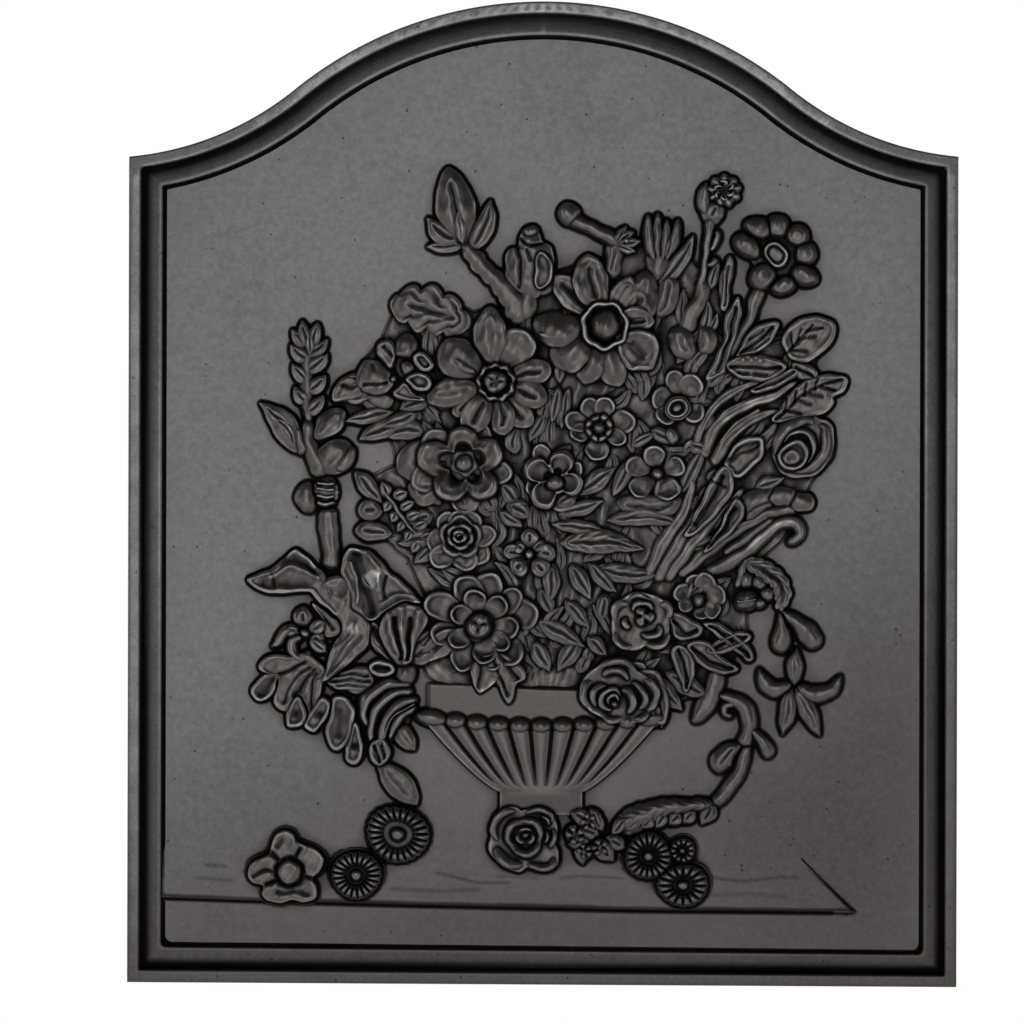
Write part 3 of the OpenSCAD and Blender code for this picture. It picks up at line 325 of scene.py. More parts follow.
# A form with a free outline. Rows shrink it towards its heart, a line through points. Height = rise * (1 -
# dome*r^2.2 + rim near the edge + tilt . place) - folds, each (path, width, depth): a groove, or a ridge if its
# depth is negative.
def carve(outline, heart, rise, dome=0.25, rim=0.12, tilt=(0.0, 0.0), folds=(), seat=0.0):
    edge = closedCurve(outline)
    core, far = nearestOn(heart, edge[:, 0], edge[:, 1])
    rows = int(clip(far.max() / 0.9, 6, 26))
    r = (linspace(0, 1, rows)[:, None]) ** 0.9
    xy = core[None] + (edge - core)[None] * r[:, :, None]
    x, z = xy[:, :, 0], xy[:, :, 1]
    middle = edge.mean(0)
    h = rise * (1 - dome * r ** 2.2 + edgeShare * rim * bump(r * far[None] / np.maximum(far[None], 1),
        1 - 1.5 / np.maximum(far[None], 3), 0.16) + tilt[0] * (x - middle[0]) / 10 + tilt[1] * (z - middle[1]) / 10)
    for path, wide, depth in folds:
        h = h - depth * bump(nearestOn(path, x, z)[1], 0, wide)
    addShell(dstack([xy, seat + clip(h, 0.4, tallest - 0.15 - seat)]), seat)


def towards(at, direction, far):
    a = math.radians(direction)
    return (at[0] + far * math.cos(a), at[1] + far * math.sin(a))


# Petals round a point, each a blade (direction, length, width).
def spread(at, spokes, rise, start=0.22, bend=0.0, **look):
    for k, (direction, long, wide) in enumerate(spokes):
        odd = math.sin(2.4 * k + 0.37 * at[0] + 0.2 * at[1])
        mid = towards(at, direction + bend + 7 * odd, 0.6 * long)
        path = [towards(at, direction - 4 * odd, start * long), mid, towards(at, direction, long)]
        petal = {**look, "tilt": look.get("tilt", 0) + 0.16 * odd, "dome": look.get("dome", 0.3) * (1 + 0.3 * odd)}
        blade(path, wide * (1 + 0.07 * odd), rise * (1 - 0.07 * (k % 3)), **petal)


def ball(at, r, rise, seat=0.0, stretch=1.0, turn=0.0):
    disc(at, r, [(0, 1), (0.3, 0.97), (0.6, 0.87), (0.85, 0.68), (1, 0.5)], rise, seat, stretch, turn)


petalLook = dict(belly=1.35, point=0.52, lift=(0.45, 0.82, 0.92), dome=0.02, crease=0.12, creaseWide=0.3, rim=0.14,
    tipOnly=0.8)
frillLook = {**petalLook, "lift": (0.35, 0.7, 0.95), "rim": 0.24}
cupLook = dict(belly=1.4, point=0.5, lift=(0.25, 0.55, 0.95), dome=0.0, crease=0.0, rim=0.28, tipOnly=0.9)
pointedLook = dict(belly=1.0, point=0.68, lift=(0.6, 0.95, 0.8), dome=0.12, crease=0.34, creaseWide=0.2, rim=0.12)
leafLook = dict(belly=0.85, point=0.85, lift=(0.7, 1.0, 0.75), dome=0.28, crease=0.28, creaseWide=0.17, rim=0.06)
stemLook = dict(lift=(0.9, 1.0, 0.9), dome=0.5, domeHow=2.4, crease=0.0)


# A leaf between two points, bowed sideways by a share of its length.
def leaf(start, tip, wide, rise=4.2, bend=0.0, **look):
    d = (tip[0] - start[0], tip[1] - start[1])
    mid = ((start[0] + tip[0]) / 2 - bend * d[1], (start[1] + tip[1]) / 2 + bend * d[0])
    blade([start, mid, tip], wide, rise, **{**leafLook, **look})


def stem(path, widths, rise=4.6, **look):
    blade(path, 0, rise, **{**stemLook, "widths": widths, **look})


# The rolled lip of a petal, walked clockwise round its flower and higher along its outer edge, or along its
# inner one if lean is negative.
def curl(path, widths, rise, lean=0.3):
    blade(path, 0, rise, widths=widths, dome=0.3, domeHow=2.0, crease=0, tilt=lean, lift=(0.75, 1.0, 0.75))


daffodil = dict(at=(38.5, 403.5), rise=9.4, ballR=9.4, ringR=14.8, petals=[(104, 45, 21), (136, 44, 18), (62, 34, 18),
    (4, 30, 15)], wavy=[(213, 40, 24), (250, 38, 18), (283, 38, 19)], pillow=(180, 44, 22), flap=(33, 38, 25),
    wing=(319, 39, 25))
p = begin("daffodil", daffodil)
spread(p.at, p.petals, p.rise * 0.9, **{**pointedLook, "tilt": 0.1})
spread(p.at, p.wavy, p.rise * 0.84, belly=1.25, point=0.55, lift=(0.6, 1, 0.7), dome=0.25, crease=-0.12,
    creaseWide=0.3, rim=0.1, lobes=2, lobeDepth=0.14, tilt=0.12)
spread(p.at, [p.wing], p.rise * 0.92, belly=1.25, point=0.75, crease=0.3, creaseWide=0.3, rim=0.22, tilt=0.2,
    dome=0.05)
spread(p.at, [p.flap], p.rise * 0.8, belly=1.2, point=0.55, crease=0.2, dome=0.2, tilt=-0.2, rim=0.1)
spread(p.at, [p.pillow], p.rise, belly=1.15, point=0.5, dome=0.4, crease=0, tilt=0.16)
blade([24, 399, 10, 396.5, -3, 399], 9, p.rise * 1.04, belly=1.1, point=0.6, dome=0.4, crease=0)
disc(p.at, lambda a: p.ringR + 0.5 * sin(7 * a), [(0, 0.42), (0.66, 0.38), (0.76, 0.62), (0.85, 0.92), (0.94, 0.97),
    (1, 0.8)], p.rise + 1)
ball(p.at, p.ballR, tallest * 0.95)
print("daffodil made")

anemone = dict(at=(-28.4, 369), rise=9, eyeR=7, ringR=11.6, pointed=[(94, 46, 20), (193, 44, 18)],
    round_=[(146, 41, 24)], cup=[(56, 36, 21)], striped=[(12, 35, 15), (338, 33, 17), (310, 34, 17), (276, 33, 14),
    (243, 35, 19), (219, 33, 12)])
p = begin("anemone", anemone)
spread(p.at, p.striped, p.rise * 0.84, belly=1.3, point=0.5, lift=(0.5, 0.95, 0.9), dome=0.18, crease=0.3,
    creaseWide=0.16, rim=0.05, streaks=1, streakDepth=0.45)
spread(p.at, p.pointed, p.rise * 0.92, belly=1.05, point=0.62, crease=0.1, dome=0.25, tilt=-0.16, rim=0.12)
spread(p.at, p.round_, p.rise, belly=1.35, point=0.5, lift=(0.5, 0.95, 0.85), dome=0.3, crease=0, rim=0.08)
blade([-40, 374, -49, 379, -57, 386], 8, p.rise * 1.04, belly=1.1, point=0.6, dome=0.3, crease=0)
spread(p.at, p.cup, p.rise * 1.05, belly=1.5, point=0.48, lift=(0.25, 0.7, 1), dome=0.12, crease=0, rim=0.14)
disc(p.at, lambda a: p.ringR + 0.6 * sin(9 * a), [(0, 0.48), (0.62, 0.42), (0.76, 0.66), (0.88, 0.86), (1, 0.7)],
    p.rise + 1.2, petals=9, groove=0.22, fold=0.66)
disc(p.at, p.eyeR, [(0, 0.92), (0.3, 0.97), (0.62, 1), (0.85, 0.9), (1, 0.6)], tallest * 0.93, petals=5, groove=0.07,
    fold=0.1)

starBloom = dict(at=(-47.6, 319), rise=9.6, lobes=[(94, 22.5, 80), (170, 29, 76), (238, 25.5, 78), (310, 26, 74),
    (22, 24, 80)], under=[(140, 30, 17), (205, 34, 20), (268, 31, 17), (345, 30, 15), (62, 27, 14)])
p = begin("star_bloom", starBloom)
spread(p.at, p.under, 5.8, **petalLook)
disc(p.at, lambda a: lobedRadius(a, p.lobes, 14.5, 0.62), [(0, 0.3), (0.46, 0.3), (0.52, 0.52), (0.62, 0.84),
    (0.74, 0.9), (0.86, 1), (0.95, 0.98), (1, 0.8)], p.rise, petals=5, groove=0.42, fold=0.5, turn=58)
disc(p.at, lambda a: 8.6 + 0.8 * cos(5 * (a - math.radians(58))), [(0, 0.9), (0.8, 0.86), (1, 0.6)], p.rise * 0.56)
ball(p.at, 5.4, p.rise * 0.92)

dahlia = dict(at=(-38, 219.5), rise=8.8, ballR=8, outer=[(113, 32, 20), (74, 33, 18), (15, 37, 20), (156, 37, 18),
    (188, 30, 14), (248, 30, 17), (318, 33, 19), (288, 29, 14), (44, 33, 15)], leaves=[(212, 41, 16), (338, 30, 14)],
    inner=[(153, 19, 13), (97, 22, 13), (50, 23.5, 14), (0, 24, 14), (276, 23, 14), (217, 21, 14), (322, 22, 13)])
p = begin("dahlia", dahlia)
carve([-37, 202, -25, 203, -13, 196, -10, 188, -15, 184, -20, 172, -26, 182, -32, 188, -38, 178, -43, 191],
    [-32, 198, -24, 188], 6.6, dome=0.2, rim=0.18, folds=[([-36, 200, -39, 182], 1.1, 1.4), ([-30, 201, -21, 178],
    0.9, 1.2), ([-26, 202, -14, 188], 1, 1.3)])
spread(p.at, p.leaves, p.rise * 0.66, **pointedLook)
spread(p.at, p.outer, p.rise * 0.9, **cupLook)
spread(p.at, p.inner, p.rise + 1, **cupLook)
disc(p.at, p.ballR + 1.6, [(0, 0.6), (0.85, 0.6), (1, 0.5)], p.rise)
disc(p.at, p.ballR, [(0, 0.92), (0.35, 1), (0.7, 0.93), (0.88, 0.78), (1, 0.5)], tallest * 0.97, petals=3,
    groove=0.12, fold=0.15, turn=20)


# Cups set one inside the other, each with a raised wavy lip and a sunk floor, turned against the last and drawn
# towards the heart, and a short curl in the last one.
def rose(at, r, rise, rings, turn):
    for k, (petals, share, notch) in enumerate(rings):
        f = k / max(len(rings) - 1, 1)
        lobes = [(turn + 47 * k + 360 / petals * i, r * share * (1 + 0.06 * math.sin(2.1 * i + k)), 380 / petals)
            for i in range(petals)]
        lip = 1 - 2.1 / (r * share)
        disc(at, lambda a: lobedRadius(a, lobes, r * share * notch, 0.6), [(0, 0.45), (max(lip - 0.2, 0.1), 0.5),
            (lip - 0.02, 0.96), (0.5 * lip + 0.5, 1), (1, 0.8)], rise * (0.66 + 0.34 * f), petals=petals, groove=0.14,
            fold=max(lip - 0.2, 0.2), turn=turn + 47 * k + 180 / petals)
    blade([towards(at, turn + a, 0.1 * r * q) for a, q in ((0, 1.3), (60, 1.2), (130, 1), (220, 0.8))], 0, rise,
        widths=[0.1 * r, 0.14 * r, 0.13 * r, 0.08 * r], dome=0.4, crease=0)


upperRose = dict(rise=10.2, outline=[43.2, 230.8, 44.8, 233.1, 51.7, 237.7, 60.1, 240.4, 67, 239.6, 75.4, 235.4, 78.5,
    230, 78.1, 224.7, 77.7, 217, 76.2, 210.9, 70.8, 207.1, 64.7, 207.8, 60.1, 206.3, 54, 205.2, 47.8, 207.8, 44,
    213.2, 42.9, 220.8])
p = begin("upper_rose", upperRose)
carve(p.outline, [61.6, 226], 6.2, dome=-0.1, rim=0.1)
for share, lean, widths, path in ((0.82, 0.3, (3.4, 5.6, 3.6), [52.2, 234.6, 60.1, 237.3, 68.4, 235]), (0.84, 0.3,
        (4, 6.4, 6.4, 4), [45.6, 221.4, 45.4, 228.3, 48.6, 232.8, 55, 233]), (0.84, 0.3, (4.4, 6.6, 6.8, 4.4),
        [57.6, 207.8, 50.9, 208.6, 47.1, 212, 45, 218.8]), (0.82, 0.3, (4.4, 7, 7, 4.4), [70.4, 234.6, 75.4, 232,
        76.9, 227.7, 74.8, 223]), (0.86, 0.3, (4.4, 6.6, 6.6, 4.6), [77.2, 218.2, 75.6, 212.6, 70.4, 208.8, 62.6,
        209.4]), (0.93, 0.3, (4, 5.6, 5.6, 4), [72.7, 221.6, 70.8, 216.6, 66.2, 214.4, 60.1, 214.4]), (0.93, 0.3,
        (4, 5.4, 4), [55.5, 218.2, 52.3, 221, 51.3, 226.4]), (0.95, 0.25, (3.6, 4.8, 4.8, 3.6), [54.9, 228.3, 57.8,
        232.1, 64.7, 232.9, 69.3, 229])):
    curl(path, widths, p.rise * share, lean)
disc((62.6, 225.6), lambda a: 6.8 + 0.7 * sin(3 * a + 1), [(0, 0.96), (0.4, 1), (0.75, 0.9), (1, 0.6)], p.rise,
    petals=3, groove=0.3, fold=0.1, turn=50)
leaf((60, 228), (67, 223), 4.4, p.rise + 0.5, crease=0.3)

lowerRose = dict(rise=11.6, outline=[34.8, 194.8, 40.2, 197.9, 46.3, 199.4, 53.2, 198.6, 58.9, 192.5, 63.2, 189.8,
    68.5, 186.4, 71.6, 181, 71.2, 174.1, 68.5, 169.5, 66.2, 168.3, 63.2, 163.2, 57.8, 160.3, 51.7, 160.6, 42.5, 161.6,
    35.6, 164.5, 28.7, 169.3, 25, 177.2, 25.6, 186.4, 29.5, 191.7])
p = begin("lower_rose", lowerRose)
spread((45, 176), [(12, 31, 20), (340, 29, 16), (50, 27, 16)], 6.5, **petalLook)
carve(p.outline, [46, 177], 6.6, dome=-0.1, rim=0.1)
for share, widths, path in ((0.76, (4.4, 6.6, 6.6, 4.6), [34.2, 191.5, 41.5, 195.8, 50.9, 196.2, 58, 190.7]),
        (0.78, (5, 7.6, 8.6, 6), [32.5, 168.5, 28.4, 174.1, 28, 181.8, 31.2, 189.4]), (0.78, (4.4, 7, 7.4, 5),
        [60.9, 188.7, 66.4, 184.1, 69.2, 177.9, 67.4, 171]), (0.8, (4.4, 6.4, 4.6), [65.2, 169.8, 62, 164.9, 55.4,
        162]), (0.8, (4.6, 6.4, 4.6), [51.6, 164, 43.2, 163.6, 35.6, 167.2]), (0.86, (4, 6, 6, 4.4), [36.6, 188.8,
        43.2, 191.5, 49.4, 190.4, 53.9, 185.6]), (0.88, (4, 6, 6.4, 4.6), [54.2, 186.2, 60.1, 181.4, 62.4, 174.9,
        60.4, 167.2]), (0.88, (4, 6, 6, 4.6), [35.6, 169, 33.2, 175.4, 34.8, 181.2, 41.2, 184.4]),
        (0.94, (4.6, 6.4, 6.4, 4.4), [47.6, 181.4, 53, 178.2, 55.3, 171.8, 53.4, 165.5]), (0.96, (3.6, 5, 5, 5, 3.4),
        [43.5, 167.8, 38.2, 171.4, 38.6, 177.7, 44, 180.2, 49, 176.6]), (1, (2.6, 3.4, 3.4, 2.6), [41.6, 171, 41.4,
        175.2, 45, 177, 47.8, 173.6])):
    curl(path, widths, p.rise * share)
ball((44.6, 172.6), 2.8, p.rise * 0.99)

footRose = dict(rise=10.2, outline=[-25, 104.4, -21.1, 108.2, -15.8, 109, -12, 106.6, -9.6, 107.4, -1.2, 108.2, 5.7,
    105.9, 8.9, 99.8, 9.6, 93.6, 9, 86.7, 11, 80.6, 9.5, 73.7, 3.4, 69.9, -2.8, 71.2, -8.1, 72, -13.5, 69.5, -22.7,
    72.9, -28.8, 78.3, -31.9, 84.4, -30.9, 89.8, -29.8, 95.9, -27.9, 100.5])
p = begin("foot_rose", footRose)
carve(p.outline, [-9.6, 90.6], 5, dome=-0.1, rim=0.1)
for share, widths, path in ((0.8, (4, 6.2, 6.6, 6, 4), [-26.6, 87.6, -28.2, 93.6, -26.3, 99.8, -21.1, 104.9, -15,
        106.5]), (0.82, (4, 7, 7.2, 4.5), [-10.8, 72.4, -18.1, 75, -24.2, 79.4, -27.9, 85.6]), (0.78, (4, 6.4, 6, 4),
        [8.9, 79.3, 4.9, 73.6, -2.8, 73.4, -9.4, 74.4]), (0.78, (3.5, 5, 5.6, 4), [-10.2, 105.6, -1.2, 106.2, 4.9,
        103.4, 7.2, 97.5]), (0.8, (3.4, 4.6, 3.4), [7, 96, 7.6, 89.8, 5.4, 83.6]), (0.86, (2.4, 3.2, 2.4), [2.6, 94.8,
        4, 90.4, 2.8, 86.2]), (0.84, (2.4, 3.4, 2.4), [-1, 103.6, 3, 100.8, 5, 96.4])):
    curl(path, widths, p.rise * share)
lobes = [(52, 12.6, 118), (158, 12.4, 112), (275, 12.8, 140)]
disc((-9.8, 90.6), lambda a: lobedRadius(a, lobes, 10.9, 0.6), [(0, 0.58), (0.6, 0.58), (0.74, 0.92), (0.88, 1),
    (1, 0.82)], p.rise * 0.93, petals=3, groove=0.22, fold=0.62, turn=105)
disc((-9.4, 90.9), 6.1, [(0, 0.62), (0.45, 0.62), (0.66, 0.88), (0.86, 0.9), (1, 0.62)], p.rise * 0.95, petals=3,
    groove=0.3, fold=0.5, turn=30)
leaf((-11.4, 90), (-7, 92.4), 3.4, p.rise * 0.92, crease=0.3)
print("roses made")


wildRose = dict(rise=8.2)
p = begin("wild_rose", wildRose)
leaf((-79, 371), (-66, 356), 13, 4.6)
carve([-108, 359, -104, 354, -96, 352, -90.5, 358, -96, 362, -104, 363], [-102, 358, -96, 358], 4.8, rim=0.1)
carve([-128.4, 357.2, -127.7, 364.1, -123.1, 370.3, -117.7, 372.2, -113, 370.3, -110.3, 364.9, -109.8, 359.5, -119,
    357.6], [-120, 363, -115, 364], 6, dome=0.3, rim=0.16, folds=[([-122, 367, -117, 365.5, -114, 367], 1.1, 1.5)])
carve([-113.5, 368.7, -113.1, 374.9, -109.3, 381, -103.9, 382.5, -97.8, 379.5, -94.2, 375.6, -92.5, 370.3, -90.9, 367,
    -97, 361.8, -107, 362, -111.6, 364.9], [-105, 372, -99, 370], 7.4, dome=0.3, rim=0.06, tilt=(0, -0.06),
    folds=[([-109, 367.4, -101, 367.8, -95, 368.6], 0.9, 1.5), ([-104, 380, -103, 376], 0.8, 0.8)])
carve([-90.9, 361.8, -88, 366, -84, 368.6, -77.9, 361.6, -71.7, 358, -80.2, 356.6, -87.1, 358], [-85, 362, -79, 360],
    6.2, dome=0.1, rim=0.26)
carve([-83.2, 371, -76.3, 374.6, -71, 373, -67.6, 368, -70.4, 363.6, -77.1, 364, -82, 367.6],
    [-77, 369.4, -74, 368.4], 7, dome=-0.1, rim=0.3)
carve([-78.4, 385.6, -73.3, 386.8, -68.7, 383, -66.4, 378.7, -69.4, 375.8, -73.9, 376.6, -78, 381],
    [-73.6, 382, -71, 379.6], 7.2, dome=-0.12, rim=0.32)
carve([-100.9, 386.6, -100.3, 392.5, -95.5, 394.4, -90.9, 392.5, -89.9, 387.6, -89.7, 381.8, -93.4, 377.5, -98.4,
    382.3], [-95.6, 388, -93.4, 382], 7, dome=0.2, rim=0.16, folds=[([-96.6, 390, -92.4, 385], 1, 1.4)])
carve([-90.6, 385.6, -89.8, 394, -84.8, 398.4, -79.2, 396.5, -76.7, 390.9, -78.4, 385.6, -84, 384],
    [-84.4, 391, -83.6, 388], 7.8, dome=0.38, rim=0, tilt=(0, -0.14))
disc((-82.6, 379), 8.4, [(0, 0.5), (0.8, 0.46), (1, 0.3)], p.rise)
ball((-81.9, 377.6), 5.2, p.rise)
ball((-91.6, 370.6), 2.6, p.rise * 0.8)

primrose = dict(at=(35, 341), rise=8.4, petals=[(117, 20, 12), (159, 21, 12), (199, 18, 12), (262, 20, 14),
    (331, 18, 11), (20, 22, 16), (70, 19, 12)])
p = begin("primrose", primrose)
spread(p.at, p.petals, p.rise * 0.82, **frillLook)
disc(p.at, 8, [(0, 0.9), (0.35, 0.7), (0.5, 0.55), (0.8, 0.95), (1, 0.8)], p.rise, petals=8, groove=0.25)

periwinkle = dict(at=(7.5, 309.5), rise=8.4, lobes=[(66, 19, 70), (152, 20, 74), (238, 20, 80), (345, 18, 72)])
p = begin("periwinkle", periwinkle)
spread(p.at, [(112, 23, 11), (30, 19, 11), (290, 21, 15), (200, 18, 12)], 5.8, **petalLook)
disc(p.at, lambda a: lobedRadius(a, p.lobes, 10, 0.6), [(0, 0.34), (0.3, 0.34), (0.42, 0.62), (0.7, 0.78), (0.88, 1),
    (1, 0.78)], p.rise)
ball((8, 306.5), 5.6, p.rise)

violet = dict(at=(70.5, 313), rise=8.2, petals=[(94, 17, 12), (160, 20, 13), (224, 20, 14), (300, 18, 14),
    (27, 18, 13)])
p = begin("violet", violet)
leaf((46, 296), (87, 297), 17, 5.4, bend=-0.12, belly=1, point=0.6)
spread(p.at, p.petals, p.rise * 0.85, **frillLook)
ball(p.at, 3.6, p.rise)

rosette = dict(at=(84, 357), rise=8, petals=[(48, 19, 14), (108, 19, 13), (165, 17, 14), (222, 17, 13),
    (330, 17, 14)])
p = begin("rosette", rosette)
spread(p.at, p.petals, p.rise * 0.8, **frillLook)
disc((83, 353), 7.2, [(0, 0.95), (0.3, 0.85), (0.42, 0.6), (0.6, 0.8), (0.75, 1), (0.86, 0.7), (1, 0.8)], p.rise)

smallRose = dict(at=(-50, 274), rise=8.6)
p = begin("small_rose", smallRose)
spread(p.at, [(232, 24, 16), (278, 21, 15), (320, 22, 16), (5, 22, 14), (52, 18, 13), (140, 18, 14), (188, 21, 15),
    (95, 16, 13)], 5.4, **{**petalLook, "rim": 0.2})
rose(p.at, 13.5, p.rise, [(5, 1, 0.8), (5, 0.62, 0.86), (3, 0.34, 0.86)], turn=15)

smallLily = dict(at=(-7.5, 263.5), rise=7.8, petals=[(93, 16, 11), (356, 16, 11), (178, 16, 11), (225, 16, 12),
    (310, 17, 12), (45, 12, 8), (135, 12, 8)])
p = begin("small_lily", smallLily)
spread(p.at, p.petals, p.rise * 0.86, belly=1.1, point=0.6, crease=0.32, dome=0.3, lift=(0.6, 1, 0.8), rim=0.15)
ball(p.at, 3, p.rise)

halfBloom = dict(at=(96, 236), rise=7.8, petals=[(62, 17, 13), (18, 17, 13), (105, 16, 12), (150, 16, 12),
    (330, 15, 12), (280, 12, 9), (200, 13, 10)])
p = begin("half_bloom", halfBloom)
spread(p.at, p.petals, p.rise * 0.85, **frillLook)
ball(p.at, 4, p.rise)


# A daisy from one skin: a round button in a sunk ring, and narrow petals parted by thin grooves.
def closeDaisy(node, at, r, rise, count, ring=0.52, seat=0, stretch=1, turn=0):
    begin(node)
    disc(at, lambda a: r * (1 + 0.02 * sin(count * a + 1.6) + 0.03 * sin(3 * a + at[0])), [(0, 0.92), (0.14, 0.9),
        (0.2, 0.72), (0.24, 0.42), (ring - 0.1, 0.46), (ring, 0.74), (ring + 0.14, 1), (0.86, 0.95), (1, 0.6)], rise,
        seat, stretch, turn, petals=count, groove=0.32, fold=ring - 0.06, columns=9 * count)


# direction, distance, radius, stretch and turn of each pillow petal
topDaisy = dict(at=(143, 447), rise=8.4, pillows=[(86, 17, 7.2, 1, 0), (43, 17, 7.4, 1, 0), (2, 17.5, 7.2, 0.95, 0),
    (324, 21, 8.8, 0.78, -25), (284, 19, 8, 0.74, 20), (238, 15.5, 9.2, 0.82, 58), (164, 18, 10, 0.64, -35),
    (125, 19.5, 8.6, 0.78, -20)])
p = begin("top_daisy", topDaisy)
stem([134, 428, 129, 417, 127, 408, 118, 392, 112, 380], [8, 7, 6, 7, 8], 4.4)
leaf((131, 428), (140, 433), 6, 3.4)
disc(p.at, 15, [(0, 0.45), (0.7, 0.45), (1, 0.3)], p.rise)
for direction, far, r, wide, turn in p.pillows:
    disc(towards(p.at, direction, far), r, [(0, 1), (0.35, 0.98), (0.62, 0.88), (0.82, 0.7), (1, 0.4)], p.rise,
        stretch=wide, turn=turn)
disc(p.at, 9.2, [(0, 0.9), (0.5, 0.87), (0.62, 0.7), (0.74, 0.96), (0.88, 1), (1, 0.6)], p.rise + 0.4, stretch=0.72,
    turn=-58)

closeDaisy("left_foot_daisy", (65.8, 79), 14, 7.6, 19, seat=0.5)
closeDaisy("right_foot_daisy", (87, 61.3), 15.2, 7.4, 16, seat=1, stretch=0.84)
closeDaisy("right_foot_daisy", (86.5, 82.5), 7.6, 5.6, 11, seat=0.3)
closeDaisy("low_daisy", (-113.2, 66.4), 15.2, 7.4, 21, seat=0.9, stretch=0.94)
closeDaisy("high_daisy", (-87.8, 91.6), 18.9, 8, 23, seat=0.2, ring=0.6, stretch=0.88, turn=-14)

fallenBloom = dict(rise=7.6, heart=(-153.9, 68.2), outline=[-165.2, 86, -162.1, 91.3, -156.8, 93.2, -152.2, 91.3,
    -149.4, 86.4, -142.2, 84, -136.1, 80.6, -133.8, 75.2, -135.8, 69.1, -140.5, 64.2, -137.6, 58.8, -138.7, 52.7,
    -144.5, 50, -152.2, 51.2, -159.8, 49.7, -167, 50.6, -170.4, 54.9, -170, 59.8, -176.2, 62.2, -179.3, 66.5, -177.5,
    72.2, -171, 76.8, -166, 79.4])
p = begin("fallen_bloom", fallenBloom)
carve(p.outline, [p.heart], p.rise, dome=0.16, rim=0.12, seat=0.8,
    folds=[([towards(p.heart, d, 8.4) for d in range(0, 361, 30)], 1.7, 3.4), ([towards(p.heart, 68, 11),
    (-147.5, 83)], 1.3, 1.8), ([towards(p.heart, -16, 11), (-141, 64.6)], 1.3, 2.2), ([towards(p.heart, 208, 11),
    (-169, 61)], 1.3, 2), ([towards(p.heart, 134, 11), (-165, 80)], 1.3, 2.2), ([-176, 66, -170, 69, -165, 69.6], 1.2,
    1.3), ([-162, 84, -159, 88], 1.5, 0.8), ([-161, 56, -150, 57, -143, 55], 1.6, 1.3)])
ball(p.heart, 5.6, p.rise, seat=0.8)
print("small blooms made")


begin("leaf_bud")
stem([-50, 455, -43, 447, -35.5, 438, -27, 430, -19, 420, -12, 405], [8, 11, 11, 14, 15, 19], 5.4, lobes=7,
    lobeDepth=0.2, skew=0.5, dome=0.4)
leaf((-48.5, 453), (-71, 451.5), 7.8, 4.6)
leaf((-50, 455), (-71, 469), 13.5, 5.4, bend=0.1, crease=0.35)
leaf((-45, 449), (-31.8, 480), 13, 5.8, bend=-0.08)
blade([-48, 452, -53, 474, -57.8, 500], 24, 7.4, belly=1, point=0.7, crease=0.3, creaseWide=0.12, dome=0.4)
leaf((-49, 453), (-52, 476), 9, 7.8, crease=0.1, dome=0.4)

begin("rose_bud")
stem([-8, 434, -9, 420, -13, 406], [14, 12, 16], 5)
carve([-14, 424, -20, 432, -23, 443, -20, 450, -15, 452, -14, 458, -9, 463, -3, 461, 0, 455, 5, 451, 7, 442, 5, 431,
    1, 424, -6, 420], [-9, 432, -8, 450], 6.4, dome=0.35, rim=0, folds=[([-15, 451, -13, 440, -14, 428], 1.3, 1.8),
    ([-14, 457, -8, 453, 0, 454], 1, 1.6), ([-9, 450, -7, 444], 0.9, 1.2)])
ball((-7.5, 461), 4.6, 7.6, stretch=0.8, turn=10)
blade([-2, 426, 1, 437, -1, 448], 11, 8.2, belly=1, point=0.5, dome=-0.1, rim=0.22, crease=0)
leaf((-1, 430), (-1, 444), 4.6, 8.6, dome=0.4, crease=0)
leaf((-12, 424), (-23, 440), 9, 5)
leaf((-2, 422), (11, 435), 8, 5.2)

begin("carnation_bud")
stem([15, 470, 24, 466, 33, 461.5, 44, 456, 50, 451], [9, 8, 7.5, 9, 12], 5.4)
ball((16, 472), 6.4, 7.4)
stem([46, 456, 43.5, 444, 42, 432], [13, 10, 12], 5.4, streaks=1, crease=0.15)
for tip, wide in (((60.5, 455), 8), ((57.5, 448.5), 7), ((56, 461), 8), ((51, 464), 7)):
    leaf((44, 453), tip, wide, 6.2, lobes=2, lobeDepth=0.14)
ball((52, 455.5), 2.6, 7)

begin("tulip_bud")
stem([72, 452, 71.5, 442, 70, 430], [19, 16, 9], 5.6, streaks=2)
for x, tip in ((-6.5, (65, 471)), (-2, (70.5, 472)), (3, (76, 468.5)), (8, (83.5, 469))):
    blade([(72 + 0.5 * x, 442), (72 + x, 455), tip], 7.6, 7, belly=1.05, point=0.6, crease=0, dome=0.42)
leaf((76, 444), (80, 460), 6, 7.4)

begin("bulb_bud")
leaf((70.5, 427), (92.5, 459.5), 10, 5.6, bend=-0.06, crease=0.4)
leaf((64, 428), (80, 446), 7, 4.8)
blade([62, 411, 62, 424, 66, 437], 18, 6.8, belly=1, point=0.5, dome=0.4, crease=0.1)
blade([68, 408, 76, 420, 78, 436], 14, 6.2, belly=1, point=0.6, dome=0.35, streaks=1)
leaf((66, 412), (84, 424), 10, 5.2, bend=0.15)
stem([99, 434, 97, 420, 90, 408, 88, 398], [7, 10, 11, 14], 5, streaks=1)
blade([84, 404, 86, 392, 94, 384], 16, 7.2, belly=0.9, point=0.5, dome=0.42, crease=0.1)
blade([97, 404, 101, 394, 97, 385], 13, 6.8, belly=0.9, point=0.5, dome=0.42, crease=0)
stem([77, 341, 79, 336, 80, 331], [8, 8.4, 8], 6.4)

